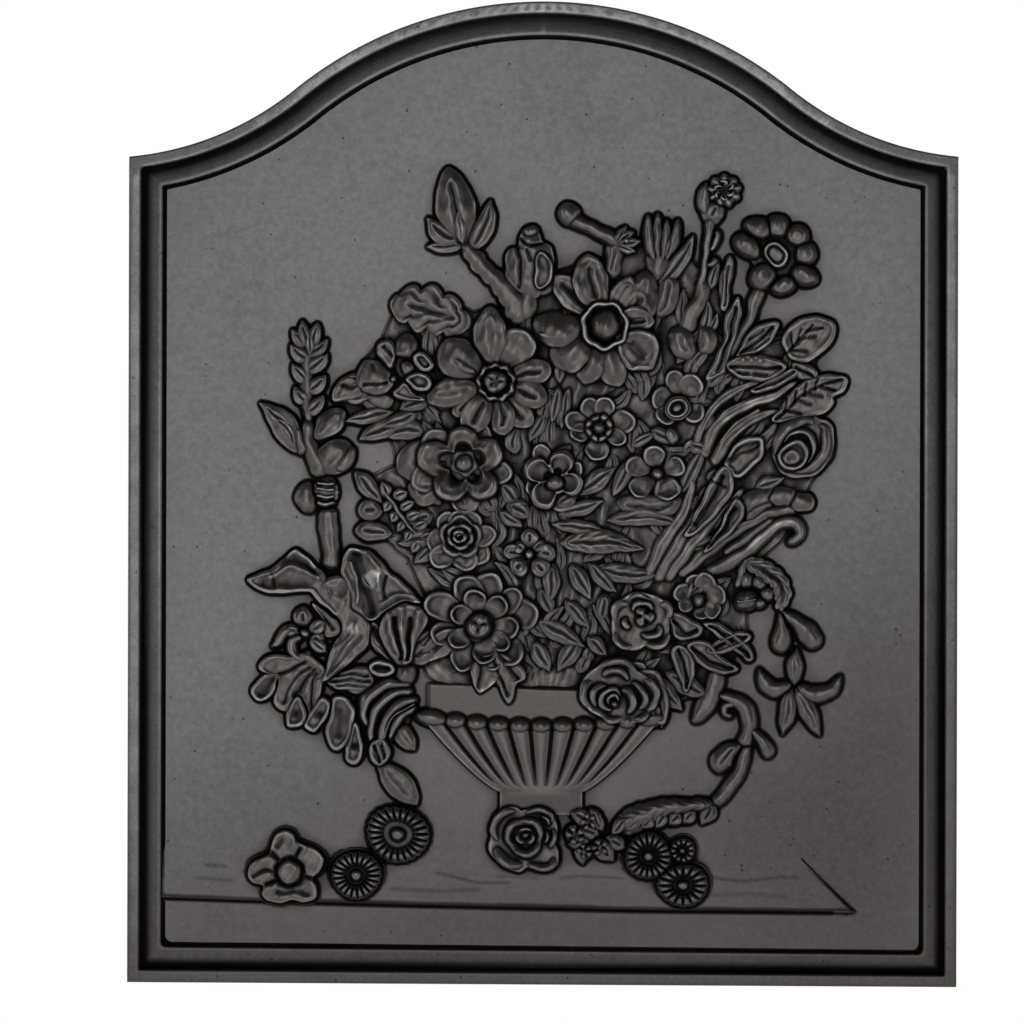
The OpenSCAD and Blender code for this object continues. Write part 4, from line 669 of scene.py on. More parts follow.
thistleHead = dict(at=(111, 486), r=9.4)
p = begin("thistle", thistleHead)
stem([104, 474, 102.4, 466, 100.5, 452, 99, 438, 97, 426], [8, 5.5, 4.6, 4.6, 6], 5)
stem([102, 449, 105, 453, 107.5, 459, 105, 462], [3.4, 4, 5, 3.6], 4.4)
stem([100, 440, 104, 441, 107, 445], [3.4, 4.4, 4], 4.2)
leaf((102, 426), (108, 443), 7, 4.2)
leaf((110.5, 416), (114, 444), 5.6, 4.2, bend=0.06)
blade([100, 470, 99, 480, 101, 491], 8.6, 6.6, belly=1.1, point=0.5, crease=0, dome=0.4)
blade([103, 466, 104, 473, 109, 479], 13, 6.4, belly=0.9, point=0.5, crease=0.25, creaseWide=0.1)
disc(p.at, lambda a: p.r + 0.9 * sin(9 * a), [(0, 0.86), (0.5, 0.9), (0.8, 0.95), (1, 0.7)], 7.4, ripple=0.9)
for d in range(0, 360, 60):
    blade([towards(p.at, d, 1.5), towards(p.at, d + 22, 5), towards(p.at, d + 60, 6.5)], 3.6, 8.4, belly=1, point=0.5,
        crease=0, dome=0.4)

poppy = dict(rise=8.8)
p = begin("poppy_bud", poppy)
carve([142, 322, 140.6, 330, 142, 338, 147, 345, 155.6, 350, 163, 351, 169, 347.6, 175, 344.6, 178.2, 339, 178, 330,
    175.4, 322, 171, 315, 162, 311.4, 153, 311, 146, 314.4], [157, 329, 160, 331], 4.6, dome=0.1, rim=0)
for share, lean, widths, path in ((0.8, -0.3, (3.4, 6.4, 8.2, 8.4, 8.2, 5), [143.2, 323, 143.4, 334, 148.4, 341.6,
        155.9, 345.8, 162.4, 346.2, 167, 342.6]), (0.78, -0.3, (3.4, 7, 8, 8, 7.4, 5, 3), [168.6, 343.4, 173.6, 340.4,
        174.8, 333, 173, 324.6, 168.1, 318.4, 160.3, 314.8, 153, 314.6]), (0.9, -0.22, (2.2, 3.8, 4.6, 4.8, 4.2, 3,
        2), [147, 331.4, 151.4, 337.4, 157.6, 339.8, 163.5, 337.6, 166.2, 331.8, 165.4, 323.8, 161.6, 319])):
    curl(path, widths, p.rise * share, lean)
disc((153.8, 324.4), 10.6, [(0, 0.86), (0.5, 0.84), (0.6, 0.78), (0.7, 0.92), (0.88, 1), (1, 0.66)], p.rise,
    stretch=0.82, turn=48)
disc((152.6, 323.4), 6, [(0, 0.9), (0.6, 0.96), (0.85, 0.92), (1, 0.7)], p.rise * 1.04, stretch=0.8, turn=46)

ruffle = dict(path=[123, 260, 131, 257, 140, 252, 146, 245, 147, 236, 144, 231], widths=[8, 11, 12, 12, 11, 7])
begin("berry_spray")
blade(ruffle["path"], 0, 6.4, widths=ruffle["widths"], lobes=7, lobeDepth=0.2, skew=0.4, dome=0.2, crease=0.35,
    creaseWide=0.3, veins=7, veinDepth=0.6)
disc((125.5, 235.5), 7.4, [(0, 1), (0.35, 0.98), (0.6, 0.88), (0.8, 0.7), (1, 0.45)], 8, stretch=0.85, turn=10)
stem([119, 236, 125.5, 235, 132, 236.5], [2.5, 3, 2.5], 8.6)
for at, r in (((125, 248), 5), ((133, 247), 4.6), ((138, 240), 4.6), ((133, 234), 3.8)):
    ball(at, r, 5.8)
stem([126, 262, 122, 252, 119, 243], [5, 6, 5], 5)
leaf((118, 256), (124, 266), 6, 4.6)

begin("flower_spike")
stem([-143, 344, -144.5, 360, -144, 380, -143, 398], [6, 8, 10, 10], 4.6)
for k, (z, x, far) in enumerate([(352, 3, 9), (358, -3, 8), (365, 3.5, 11), (372, -4, 10), (378, 4, 12),
        (384, -5, 11), (387, 5, 12), (393, -5, 10)]):
    leaf((-144 - 0.4 * x, z - 3), (-143.5 + (far if x > 0 else -far), z + 8), 9.5, 5.4, bend=0.06 if x < 0 else -0.06)
leaf((-144, 388), (-147, 406), 9, 6.2)
leaf((-142, 388), (-138, 405), 9, 6)
leaf((-143, 384), (-142.5, 402), 6, 6.6)

begin("spike_stem")
stem([-144, 346, -143.5, 334, -139, 322, -133.5, 311], [8, 9, 11, 14], 4.8)
stem([-151, 342, -148.5, 333, -146, 324], [5, 7, 9], 5.2)
leaf((-150.5, 326), (-173.5, 356), 15, 5.4, bend=-0.1, crease=0.4, creaseWide=0.12)
leaf((-152, 328), (-169, 347), 7, 5.8, bend=-0.2)
blade([-140, 334, -131, 343, -121, 351], 15, 6.8, belly=1.1, point=0.6, tilt=-0.18, streaks=2, crease=0)
blade([-137, 314, -128, 322, -117.5, 330], 20, 6, belly=1.05, point=0.5, crease=0.1, tilt=0.1)
blade([-127, 314, -119, 322, -116.5, 329], 9, 6.6, belly=1, point=0.5, crease=0)
blade([-132.5, 311, -132.4, 302, -132.4, 292], 0, 6.4, widths=[14, 15, 14], dome=0.4, crease=0, lobes=5,
    lobeDepth=0.08)
for z in (307, 303.5, 299, 295):
    stem([(-138.5, z), (-132.4, z - 1.2), (-126.5, z)], [3, 3.4, 3], 7.2)
blade([-141, 289, -145.5, 298, -143, 307], 12.5, 6.2, belly=1, point=0.55, dome=0.4, crease=0, tilt=-0.1)
stem([-132, 292, -131, 280, -129.8, 268, -128.5, 254], [11, 11, 10.5, 11], 4.8, streaks=1, crease=0.08)

leftStar = dict(at=(-145, 215), rise=6.8)
p = begin("left_star", leftStar)
spread(p.at, [(92, 16, 10.5), (30, 13, 8), (330, 13, 9), (168, 13, 8)], p.rise * 0.9, belly=1, point=0.62, crease=0.4,
    creaseWide=0.14, dome=0.3, lift=(0.6, 1, 0.8))
blade([-147, 214, -156, 216, -162, 209, -166, 206], 0, 5.8, widths=[4, 7, 6, 2], dome=0.4, crease=0)
blade([-147, 213, -153, 209, -152, 202, -147, 199, -142, 203], 0, 6.4, widths=[4, 6, 6, 6, 4], dome=0.4, crease=0)
leaf((-142, 211), (-131, 203), 8, 6.2, crease=0.3)
leaf((-143, 216), (-132, 222), 8, 5.6)
ball(p.at, 3, p.rise)

trumpet = dict(ribs=[[-84, 197, -91, 212, -94, 227], [-83, 197, -85, 214, -86, 230], [-81, 198, -78, 214, -75, 228]])
begin("trumpet_lily")
carve([-94, 228, -85, 232.5, -75, 231, -70, 224, -73, 217, -77, 208, -79.5, 198, -86, 195, -91, 199, -97, 209, -99,
    220], [-85, 203, -84, 220], 6.8, dome=0.12, rim=0.16, tilt=(0, 0.06),
    folds=[(p0, 2, -1.6) for p0 in trumpet["ribs"]] + [([-86, 200, -88.5, 214, -90, 224], 1.3, 2.6), ([-82, 200, -81,
    214, -80.5, 224], 1.2, 2.2)])
carve([-104, 222, -98, 216, -93, 206, -88, 199, -92, 197, -100, 203, -106, 210], [-97, 208], 5, rim=0.2,
    folds=[([-103, 218, -92, 200], 1.8, 1.4)])
leaf((-81, 197), (-62.5, 205), 14, 6, bend=0.12, point=0.6)
leaf((-81, 203), (-66, 218), 10, 5.6)
carve([-105, 195, -100, 198, -92, 196.5, -90, 192, -95, 188.5, -102, 189.5], [-100, 193.5, -95, 193], 6.4, dome=-0.05,
    rim=0.2, folds=[([-102, 193.5, -94, 194], 1.2, 2)])
ball((-83.4, 190), 6.6, 7.8)

# each fold runs from the top right round to the lower left
parrot = dict(folds=[[-80, 184, -95, 184, -106, 177, -110, 167, -107, 157], [-79, 180, -92, 178, -101, 170, -105, 160,
    -104, 148], [-77, 175, -87, 172, -95, 164, -98, 154, -99, 144], [-77, 169, -85, 166, -91, 158, -93, 150],
    [-78, 172, -90, 165, -95, 156, -97, 149]], widths=[[6, 8, 8, 7, 4], [5, 7, 7, 6, 4], [5, 7, 7, 7, 4],
    [5, 6, 6, 3], [2, 3, 3, 2]])
begin("parrot_tulip")
disc((-95, 166), 20, [(0, 0.5), (0.7, 0.45), (1, 0.3)], 5, stretch=0.72, turn=60)
for path, widths in zip(parrot["folds"], parrot["widths"]):
    blade(path, 0, 7.2, widths=widths, dome=0.45, crease=0, tilt=0.3, lift=(0.8, 1, 0.85))
carve([-103, 148, -97, 150, -93, 144, -94, 138, -99, 134, -104, 136, -105, 142], [-99, 142], 6.2, dome=0.1, rim=0.2,
    folds=[([-102, 146, -99, 136], 0.9, 1.4), ([-98, 147, -96, 139], 0.9, 1.2)])
leaf((-90, 158), (-77, 143), 11, 5.2, crease=0.1)
leaf((-104, 180), (-126, 186), 10, 4.8)

starLily = dict(at=(154.5, 184.5), rise=6.6)
p = begin("star_lily", starLily)
leaf((154.5, 184), (155.5, 207), 10.5, 6, dome=0.4, crease=0.1)
stem([156, 184, 165, 178.5, 176, 180, 184, 190], [5, 10.5, 9, 3], 5.8)
stem([153, 185, 145, 181, 137.5, 184, 133, 194], [5, 10, 9, 3], 5.8)
leaf((155.5, 183), (170.5, 153), 11.5, 6, dome=0.42, crease=0.14)
leaf((153.5, 182), (147.5, 153), 10.5, 6, dome=0.42, crease=0.14)

begin("drop_leaves")
stem([146.5, 229, 147, 220, 146.5, 210, 145.5, 203], [3.5, 7, 11.5, 9], 6.2)
stem([147, 230, 154, 224, 163, 215, 169, 207], [3.5, 8, 13.5, 12], 6.4)
stem([144, 240, 147, 233, 147.5, 228], [6, 5, 4], 4.8)
print("buds made")


oakLeaf = dict(stalk=(-43.5, 402.7), tip=(-93, 418), wide=31, rise=5.2)
p = begin("oak_leaf", oakLeaf)
blade([p.stalk, (-66, 412), p.tip], p.wide, p.rise, belly=1.1, point=0.55, lobes=4, lobeDepth=0.36, skew=0.3, veins=4,
    veinDepth=0.9, crease=0.35, creaseWide=0.12, dome=0.3, rim=0.12)

begin("left_sprays")
for a, b, w, h, *extra in [((-100, 363), (-124, 366), 18, 5.4, dict(belly=1.3, point=0.5, crease=0.1, rim=0.3)),
        ((-96, 352), (-114, 361), 10, 4.6), ((-91, 351), (-121, 344.5), 9.5, 5.2, dict(crease=0.4)), ((-84, 346),
        (-112, 334), 12, 4.8, dict(crease=0.35)), ((-76, 350), (-99, 341), 10, 5.6), ((-68, 360), (-88, 352), 11, 6),
        ((-70, 338), (-98, 336), 13, 4.8, dict(bend=-0.1)), ((-60, 322), (-89, 318), 25, 4.8, dict(belly=1.1,
        point=0.5, crease=0.15)), ((-60, 306), (-82, 300), 19, 5, dict(belly=1.1, point=0.5)), ((-114.6, 313.5),
        (-97.5, 294.5), 11.5, 4.8, dict(crease=0.35)), ((-112.5, 290), (-97.5, 290), 13, 4.6, dict(point=0.55)),
        ((-114, 278.5), (-92, 276), 12, 5, dict(point=0.6)), ((-66, 288), (-84, 282), 11, 4.6), ((-62, 276),
        (-88, 270), 12, 4.8), ((-66, 268), (-78, 258), 10, 4.6)]:
    leaf(a, b, w, h, **(extra[0] if extra else {}))
for k in range(5):
    root = (-92 + 4.2 * k, 297 - 6.2 * k)
    leaf(root, (root[0] + 10, root[1] + 5), 7, 5.4)
    leaf(root, (root[0] - 5, root[1] - 8), 6.4, 5.2)
stem([-98, 304, -88, 290, -76, 274], [3, 4, 4], 5)
leaf((-94, 298), (-98, 308), 7, 5.2)

begin("right_leaves")
carve([150.5, 385, 147, 393, 149, 401, 155, 406.5, 163, 409, 171.5, 409, 178, 406, 179, 400, 176.5, 393.5, 170.5, 387,
    163, 382.5, 156, 382], [156, 391, 168, 400], 5.6, dome=0.1, rim=0.22, folds=[([149, 386, 157, 395, 165, 403], 0.9,
    1.5), ([156, 394, 158, 402], 0.7, 1.2), ([158, 396, 167, 397], 0.7, 1.2), ([153, 391, 151.5, 399], 0.7, 1.1),
    ([162, 400.5, 171, 402], 0.7, 1.1), ([153.5, 389, 162, 388], 0.7, 1)])
carve([119, 387, 126.5, 399.5, 134, 404.5, 144.5, 405, 142, 397, 137, 391, 129, 386.5, 120, 384.5],
    [125, 391, 137, 399], 5.2, dome=0.1, rim=0.22, folds=[([121, 387, 129, 392.5, 141, 402], 0.9, 1.5),
    ([127, 395, 136, 401], 0.8, 1), ([131, 390, 139, 396], 0.7, 0.8)])
carve([113, 382, 121.5, 385.5, 131, 386, 141, 383.5, 149, 378.5, 143.5, 372.5, 136, 369.5, 127.5, 370, 119, 372.5,
    114, 377], [120, 378.5, 140, 377.5], 6, dome=0.15, rim=0.2, folds=[([115, 379, 130, 378, 146, 378], 0.9, 1.7),
    ([123, 382.5, 123.2, 382.6], 1.2, -1.2), ([128, 382.5, 128.2, 382.6], 1.2, -1.2), ([133, 382.2, 133.2, 382.3],
    1.2, -1.1), ([120, 375, 126, 374], 1, 1), ([130, 373.5, 137, 373.5], 1, 0.9)])
carve([127.5, 364.5, 137.5, 370.5, 146, 375.5, 153, 378, 157.5, 376, 155, 372, 146, 367, 137, 363.5, 131, 362.5],
    [133, 366, 152, 375], 5.4, dome=0.2, rim=0.16, folds=[([130, 365, 143, 369, 154, 375], 0.9, 1.3)])
carve([153, 381, 161, 381, 167.5, 375.5, 166.5, 371, 159, 370.5, 154, 375], [160, 376], 5.4, dome=0.2, rim=0.1,
    folds=[([155, 378, 161, 376, 165, 373], 0.9, 1.3)])
fern = dict(outline=[141, 345, 146, 354, 151, 361, 158, 368, 168, 373, 178, 373, 186, 371.5, 184.5, 364, 178.5, 360.5,
    178, 356, 173, 351.5, 164, 348, 154, 346], rib=[143, 346, 150, 353, 158, 360.5, 170, 367, 183, 371])
carve(fern["outline"], [150, 352, 160, 360, 174, 367], 5.2, dome=0.1, rim=0.16, folds=[(fern["rib"], 0.8, 1.4)]
    + [([(x, z), (x + 1.5, z + 7)], 0.8, 1.2) for x, z in ((148, 352), (154, 357), (160, 361), (167, 365))]
    + [([(x, z), (x + 8, z - 2)], 0.8, 1.2) for x, z in ((150, 352), (156.5, 358), (163.5, 362.5), (171, 366.5))])
carve([109, 415, 109.5, 429, 112, 443, 115, 446, 116.5, 438, 114.5, 426, 113.5, 413], [111.5, 420, 113, 436], 4.8,
    dome=0.3, rim=0.1, folds=[([111.5, 416, 113.5, 440], 0.8, 0.9)])
carve([111, 396, 112, 408, 119.5, 421.5, 121.5, 412, 120, 401, 116.5, 390, 112, 376, 105, 371, 100, 371.5, 106, 384],
    [108, 378, 114, 395, 118, 413], 5, dome=0.2, rim=0.2, folds=[([107, 376, 114, 395, 118.5, 415], 1, 1.4)])
leaf((96, 396), (101, 420), 7, 4.6, bend=-0.1)
leaf((101, 398), (108, 412), 6, 4.4)
leaf((88, 370), (96, 392), 9, 4.8)

sheaf = dict(rise=5.2)
begin("stem_sheaf")
for path, widths in [([(70, 246), (82, 268), (97, 290), (106, 308)], [9, 11, 9, 5]), ([(76, 247), (92, 270),
        (108, 290), (124, 304)], [8, 10, 9, 5]), ([(84, 250), (104, 268), (122, 280), (140, 288)], [8, 9, 9, 6]),
        ([(64, 248), (74, 270), (88, 292), (92, 312)], [8, 10, 9, 5]), ([(104, 318), (114, 334), (128, 346),
        (146, 352)], [9, 9, 8, 4]), ([(98, 322), (106, 342), (122, 354), (142, 361), (156, 370)], [8, 9, 8, 8, 4]),
        ([(94, 330), (102, 350), (118, 364), (134, 370)], [7, 7, 7, 4]), ([(112, 312), (122, 326), (136, 336),
        (144, 345)], [8, 9, 8, 4]), ([(108, 330), (120, 344), (134, 352)], [4, 5, 4]), ([(102, 336), (112, 350),
        (126, 358)], [4, 5, 4])]:
    stem(path, widths, sheaf["rise"], streaks=1, streakDepth=0.5, crease=0.12)
carve([88, 276, 96, 292, 102, 305, 107, 314, 113, 318.5, 117.5, 312, 115, 300, 104.5, 286, 94, 276.5],
    [95, 284, 111, 309], 6.2, dome=0, rim=0.22, folds=[([94, 283, 103, 295, 111, 311], 1.6, 1.8),
    ([104, 309, 112, 305], 0.8, 1)])
carve([99, 265, 109, 280, 113, 290, 118, 298.5, 123.5, 294, 123, 286, 118, 279, 109, 270.5], [105, 272, 118, 290],
    5.6, dome=0, rim=0.25, folds=[([104, 271, 112, 280, 118, 292], 1.5, 1.6)])
carve([112, 320, 117, 329, 125, 335, 134.5, 335, 135, 326, 130, 318.5, 122.5, 311.5, 118, 311.5, 115, 315],
    [119, 318, 129, 328], 6, dome=-0.05, rim=0.26, tilt=(0.06, -0.08), folds=[([115, 323, 122, 328, 131, 331], 2,
    2.2)])
leaf((116, 314), (136, 336), 11, 5.2, crease=0.35, rim=0.25)
leaf((84, 300), (100, 330), 9, 5)

begin("curled_leaves")
carve([121, 297.5, 128.5, 303, 138.5, 305, 151, 304.5, 156, 301.5, 163.5, 301, 167, 296.5, 163.5, 291, 156, 290.5,
    148.5, 293.5, 140, 292.5, 134, 288, 126, 284, 124.5, 290.5], [129, 294, 145, 299, 160, 296], 6, dome=0.35, rim=0,
    folds=[([155.5, 302, 152, 293], 0.9, 1.6), ([142, 304, 139, 298, 142, 292], 0.9, 1.3), ([127, 290, 138, 296], 0.9,
    0.9)])
stem([128, 284, 142, 290, 156, 292], [7, 8, 6], 5)
stem([100, 252, 120, 262, 134, 274, 146, 283, 155, 283, 157.5, 276, 151, 270], [7, 9, 9, 9, 8.5, 7.5, 5.5], 5.8,
    streaks=1, streakDepth=0.5)
stem([112, 264, 128, 276, 142, 286], [6, 7, 5], 5)
stem([92, 250, 112, 256, 128, 266, 138, 276], [6, 7, 6, 4], 4.8)
leaf((130, 304), (148, 311), 9, 5)
leaf((126, 296), (146, 304), 9, 4.8)

begin("middle_leaves")
for a, b, w, h, *extra in [((11, 270), (62, 267), 15, 6.4, dict(veins=6, veinDepth=0.6, bend=0.06)), ((32, 256),
        (73, 251), 12, 5.6, dict(veins=4, bend=-0.05)), ((40, 284), (88, 281), 12, 5.6, dict(bend=0.1)), ((6.7, 258),
        (5, 233), 11.5, 6, dict(crease=0.3)), ((18, 258), (30, 236), 11, 5.8, dict(crease=0.35)), ((28, 258),
        (46, 240), 9, 5.4), ((14, 236), (30, 218), 10, 4.8), ((-4, 224), (27, 207), 12, 5.6), ((-6, 210), (5, 192),
        11, 4.8), ((24, 212), (10, 192), 12, 4.8), ((22, 300), (46, 318), 11, 5.4, dict(veins=3)), ((44, 300),
        (58, 326), 10, 5.6), ((28, 214), (40, 201), 9, 6.4), ((-14, 294), (-26, 308), 11, 5), ((-22, 296), (-6, 286),
        12, 5.6, dict(veins=3)), ((10, 288), (38, 296), 10, 5.4), ((6, 282), (40, 278), 9, 5.6), ((40, 240),
        (36, 222), 10, 5), ((-2, 243), (8, 226), 9, 5), ((8, 292), (24, 304), 8, 5), ((52, 290), (80, 292), 9, 5),
        ((-26, 290), (-12, 280), 9, 5.4), ((66, 340), (82, 332), 9, 5.2), ((54, 330), (70, 338), 8, 5), ((88, 332),
        (104, 326), 10, 5), ((58, 372), (60, 392), 9, 5), ((66, 372), (72, 392), 9, 5), ((10, 366), (6, 344), 8, 5),
        ((16, 366), (12, 340), 7, 4.8), ((2, 350), (-8, 332), 9, 4.6), ((88, 376), (104, 392), 9, 5), ((82, 380),
        (96, 402), 9, 5), ((100, 366), (112, 378), 9, 4.8), ((104, 352), (98, 338), 9, 4.8)]:
    leaf(a, b, w, h, **(extra[0] if extra else {}))

bed = dict(middle=(15, 310), height=2.1, rings=96, columns=470, outline=[-72, 184, -76, 211, -72, 235, -84, 260, -104,
    278, -113, 297, -105, 312, -90, 318, -96, 340, -121, 347, -127, 363, -118, 375, -102, 395, -92, 416, -69, 422,
    -44, 414, -26, 417, -7, 430, 11, 440, 36, 448, 60, 456, 85, 454, 104, 436, 118, 416, 134, 404, 158, 402, 174, 398,
    170, 382, 176, 367, 174, 340, 172, 315, 162, 297, 152, 274, 137, 260, 126, 235, 128, 211, 118, 196, 99, 176, 84,
    168, 66, 164, 36, 168, 23, 180, -14, 180])


# How far the bed of foliage reaches from its middle in each direction.
def bedReach(angle):
    o = np.reshape(bed["outline"], (-1, 2)) - array(bed["middle"], float)
    a, far = np.arctan2(o[:, 1], o[:, 0]), np.hypot(o[:, 0], o[:, 1])
    order = np.argsort(a)
    return interp(angle, a[order], far[order], period=2 * np.pi)


# Low matted foliage behind the flowers. Height = height * (1 + streaks that run out from above the urn), and it
# falls towards the edge.
def foliageBed():
    angle = -linspace(0, 2 * np.pi, bed["columns"], endpoint=False)
    r = linspace(0, 1, bed["rings"])[:, None]
    far = bedReach(angle) * 0.97
    x = bed["middle"][0] + r * far * cos(angle)
    z = bed["middle"][1] + r * far * sin(angle)
    bearing = np.arctan2(x, z - 120)
    streak = sin(bearing * 95 + 2.2 * castWave(x, z, 34, 0.3)) * (0.6 + 0.4 * castWave(x, z, 12, 2.2))
    h = bed["height"] * (1 + 0.36 * streak + 0.3 * castWave(x, z, 17, 1.1)) * (1 - 0.5 * r ** 6)
    begin("middle_leaves")
    addShell(dstack([x, z, clip(h, 0.3, 6)]), 0)


foliageBed()

filler = dict(count=190, seed=11, long=(14, 27), wide=(6.5, 10.5), rise=(3.2, 4.9))
dice = np.random.default_rng(filler["seed"])
tried = 0
while tried < filler["count"]:
    x, z = dice.uniform(-110, 165), dice.uniform(186, 430)
    long, wide, rise, lean, bow = (dice.uniform(*filler["long"]), dice.uniform(*filler["wide"]),
        dice.uniform(*filler["rise"]), dice.normal(0, 0.5), dice.uniform(-0.14, 0.14))
    away = math.hypot(x - bed["middle"][0], z - bed["middle"][1])
    if away > 0.92 * bedReach(math.atan2(z - bed["middle"][1], x - bed["middle"][0])) - 0.4 * long:
        continue
    tried += 1
    heading = math.atan2(z - 130, x) + lean
    d = (long / 2 * math.cos(heading), long / 2 * math.sin(heading))
    begin("lower_leaves" if z < 232 else "left_sprays" if x < -40 else "middle_leaves" if x < 6 else "stem_sheaf"
        if z < 345 else "right_leaves")
    leaf((x - d[0], z - d[1]), (x + d[0], z + d[1]), wide, rise, bend=bow, crease=0.3, streaks=2, streakDepth=0.35,
        tilt=0.12 * math.sin(tried), belly=0.85 + 0.2 * math.sin(2 * tried))

begin("lower_leaves")
for outline, heart, rib in (([78, 228, 85, 227.5, 92, 224, 98.5, 219.5, 96, 214, 88, 211, 82, 213, 79, 220],
        [84, 220, 91, 218], [81, 223, 88, 216, 95, 217.5]), ([89, 208, 97, 211.5, 104.5, 208.5, 111, 201, 120.5,
        193.5, 111.5, 190.5, 101.5, 194, 93, 200.5], [97, 204, 110, 196], [92, 206, 103, 199, 117, 193.5]),
        ([99, 221.5, 107, 222, 117, 216.5, 126, 209.5, 130, 201, 126, 198.5, 121, 202.5, 113.5, 208.5, 106, 215],
        [107, 218, 122, 206], [103, 219.5, 115, 212.5, 127, 202]), ([80, 206.5, 86.5, 208, 92.5, 201.5, 94, 194, 89.5,
        179.5, 85, 187, 81, 196], [86.5, 201, 88.5, 189], [84, 206, 87, 196, 89.5, 183]), ([62, 186, 67, 190, 76, 181,
        78, 170, 75, 160, 68, 163, 64, 174], [69, 181, 71, 168], [65, 186, 71, 175, 73, 164]), ([100, 205, 112, 213,
        122, 217, 128, 213, 120, 207, 110, 203], [108, 208, 119, 212], [104, 206, 116, 211, 125, 214])):
    carve(outline, heart, 5.8, dome=0, rim=0.24, folds=[(rib, 0.9, 1.5)])
stem([108, 197, 106, 184, 101, 172, 92.5, 161], [8, 10.5, 12, 7], 5.2)
leaf((64, 184), (74, 158), 12, 5)
leaf((76, 192), (102, 176), 12, 5.2)
leaf((66, 190), (86, 168), 13, 5.6)
leaf((80, 204), (98, 210), 11, 5.4)

begin("left_foliage")
carve([-180.5, 247.5, -173, 251, -167, 253, -159, 259, -152, 265.5, -146, 263, -140, 257.5, -133, 251, -129, 242,
    -124, 226, -131, 230, -138.5, 236.5, -143, 240.5, -153, 240, -161, 239, -169, 240.5, -176, 243], [-170, 247, -155,
    250, -142, 248, -133, 240], 6.4, dome=0.1, rim=0.16, tilt=(0, -0.05), folds=[([-166, 249, -155, 255.5, -147, 254,
    -137, 249], 1.8, -1.4), ([-157, 261, -149, 260, -140, 254], 3.2, 2.2), ([-170, 245, -155, 246, -146, 245], 2.8,
    1.6), ([-166, 251, -163, 243], 1.2, 0.8)])
carve([-116, 267, -107, 265.5, -99.5, 260, -93, 252, -84.5, 245, -77, 238, -74, 234, -81, 234.5, -88, 232.5, -96, 228,
    -104, 223, -111, 226.5, -116, 231, -118, 240, -122.5, 251, -121.5, 260, -119, 265.5], [-113, 257, -106, 245, -92,
    238], 6, dome=0.05, rim=0.2, folds=[([-114, 262, -110, 250, -106, 238, -104, 228], 3.4, 2.8), ([-95, 250, -97,
    243, -96, 237], 0.9, 1.6), ([-117, 258, -113, 247, -113, 234], 1, -1.2), ([-98, 233, -89, 238, -79, 237.5], 1.5,
    -1), ([-106, 262, -100, 254, -100, 242], 1.4, -1)])
carve([-124.5, 249.5, -119, 247, -116.5, 239, -116, 231.5, -111.5, 227, -107, 223.5, -105, 219, -105.5, 212, -108,
    206, -113, 200.5, -119, 195.5, -126, 189.5, -134, 185.5, -132, 194, -129.5, 201, -127, 208.5, -122, 215, -123,
    221.5, -127.5, 228, -133.5, 234, -136.5, 240.5, -134, 246, -129.5, 249], [-128, 243, -121, 230, -114, 218, -118,
    205, -129, 190], 7.4, dome=0.2, rim=0.1, folds=[([-126, 209, -120, 214, -115, 222], 2.4, 1), ([-111, 213, -117,
    206, -128, 192], 1.2, 0.8), ([-115, 215, -122, 205, -131, 190], 1, 0.7), ([-133, 241, -124, 240, -118, 246], 2.6,
    0.9)])
carve([-140, 233, -132, 228, -125, 223, -122, 216, -128, 212, -134, 214, -134, 222], [-130, 222], 4.4,
    folds=[([-138, 231, -128, 217], 1.3, 1)])
# the broad lobed leaf below
carve([-173, 194.5, -169, 199.5, -162, 201.5, -155, 200.5, -147, 202, -139, 199, -131, 190, -134, 185, -136, 175,
    -141, 166, -144, 171, -149, 176.5, -152, 170, -157, 167, -162, 169, -164, 175, -161, 187, -167, 189, -172, 191],
    [-158, 192, -146, 186], 5.8, dome=0.15, rim=0.2, folds=[([-142, 194, -152, 186, -158, 172], 1, 1.2),
    ([-140, 192, -147, 182, -151, 177], 2, 1.6), ([-138, 190, -141, 178, -141, 168], 0.9, 1), ([-145, 197, -160, 190],
    1, 1.1), ([-150, 190, -155, 178], 2.2, -0.7)])
carve([-161, 188.5, -169, 189, -176, 183, -177.5, 178, -174, 174, -169, 174, -165, 178, -163, 184], [-171, 181], 5.4,
    dome=-0.1, rim=0.16, folds=[([-164, 187, -172, 178], 2.6, 1.4)])
for outline, heart in (([-141, 168, -135, 175, -130, 172, -132, 163, -137, 156, -141, 154.5, -145, 158, -143, 163],
        [-136, 165]), ([-150, 176, -146, 172, -144, 163, -149, 158, -155, 157.5, -155.5, 166], [-150, 166]),
        ([-127, 176, -119, 175, -115, 168, -115.5, 158, -119, 148, -125, 143, -130, 147, -131.5, 155, -129, 165],
        [-123, 167, -124, 153]), ([-114, 160, -110, 150, -110, 140, -114, 134.5, -119, 137, -120, 144, -117, 152],
        [-114.5, 146])):
    carve(outline, heart, 6, dome=-0.06, rim=0.22, folds=[(heart[:2] + heart[-2:], 2.4, 1.3)])
carve([-131, 186, -121, 191, -113, 194, -104, 193, -104, 184, -110, 180, -120, 180, -128, 182],
    [-124, 185, -110, 188], 5.2, dome=0.2, rim=0.1, folds=[([-130, 185, -118, 186, -105, 186], 0.9, 1.4),
    ([-126, 188, -116, 190, -106, 189], 0.8, 1.2), ([-126, 183, -115, 182.5, -108, 182], 0.8, 1)])
leaf((-100, 135.5), (-75.5, 110), 16, 5.4, belly=1.05, point=0.65, crease=0.12)


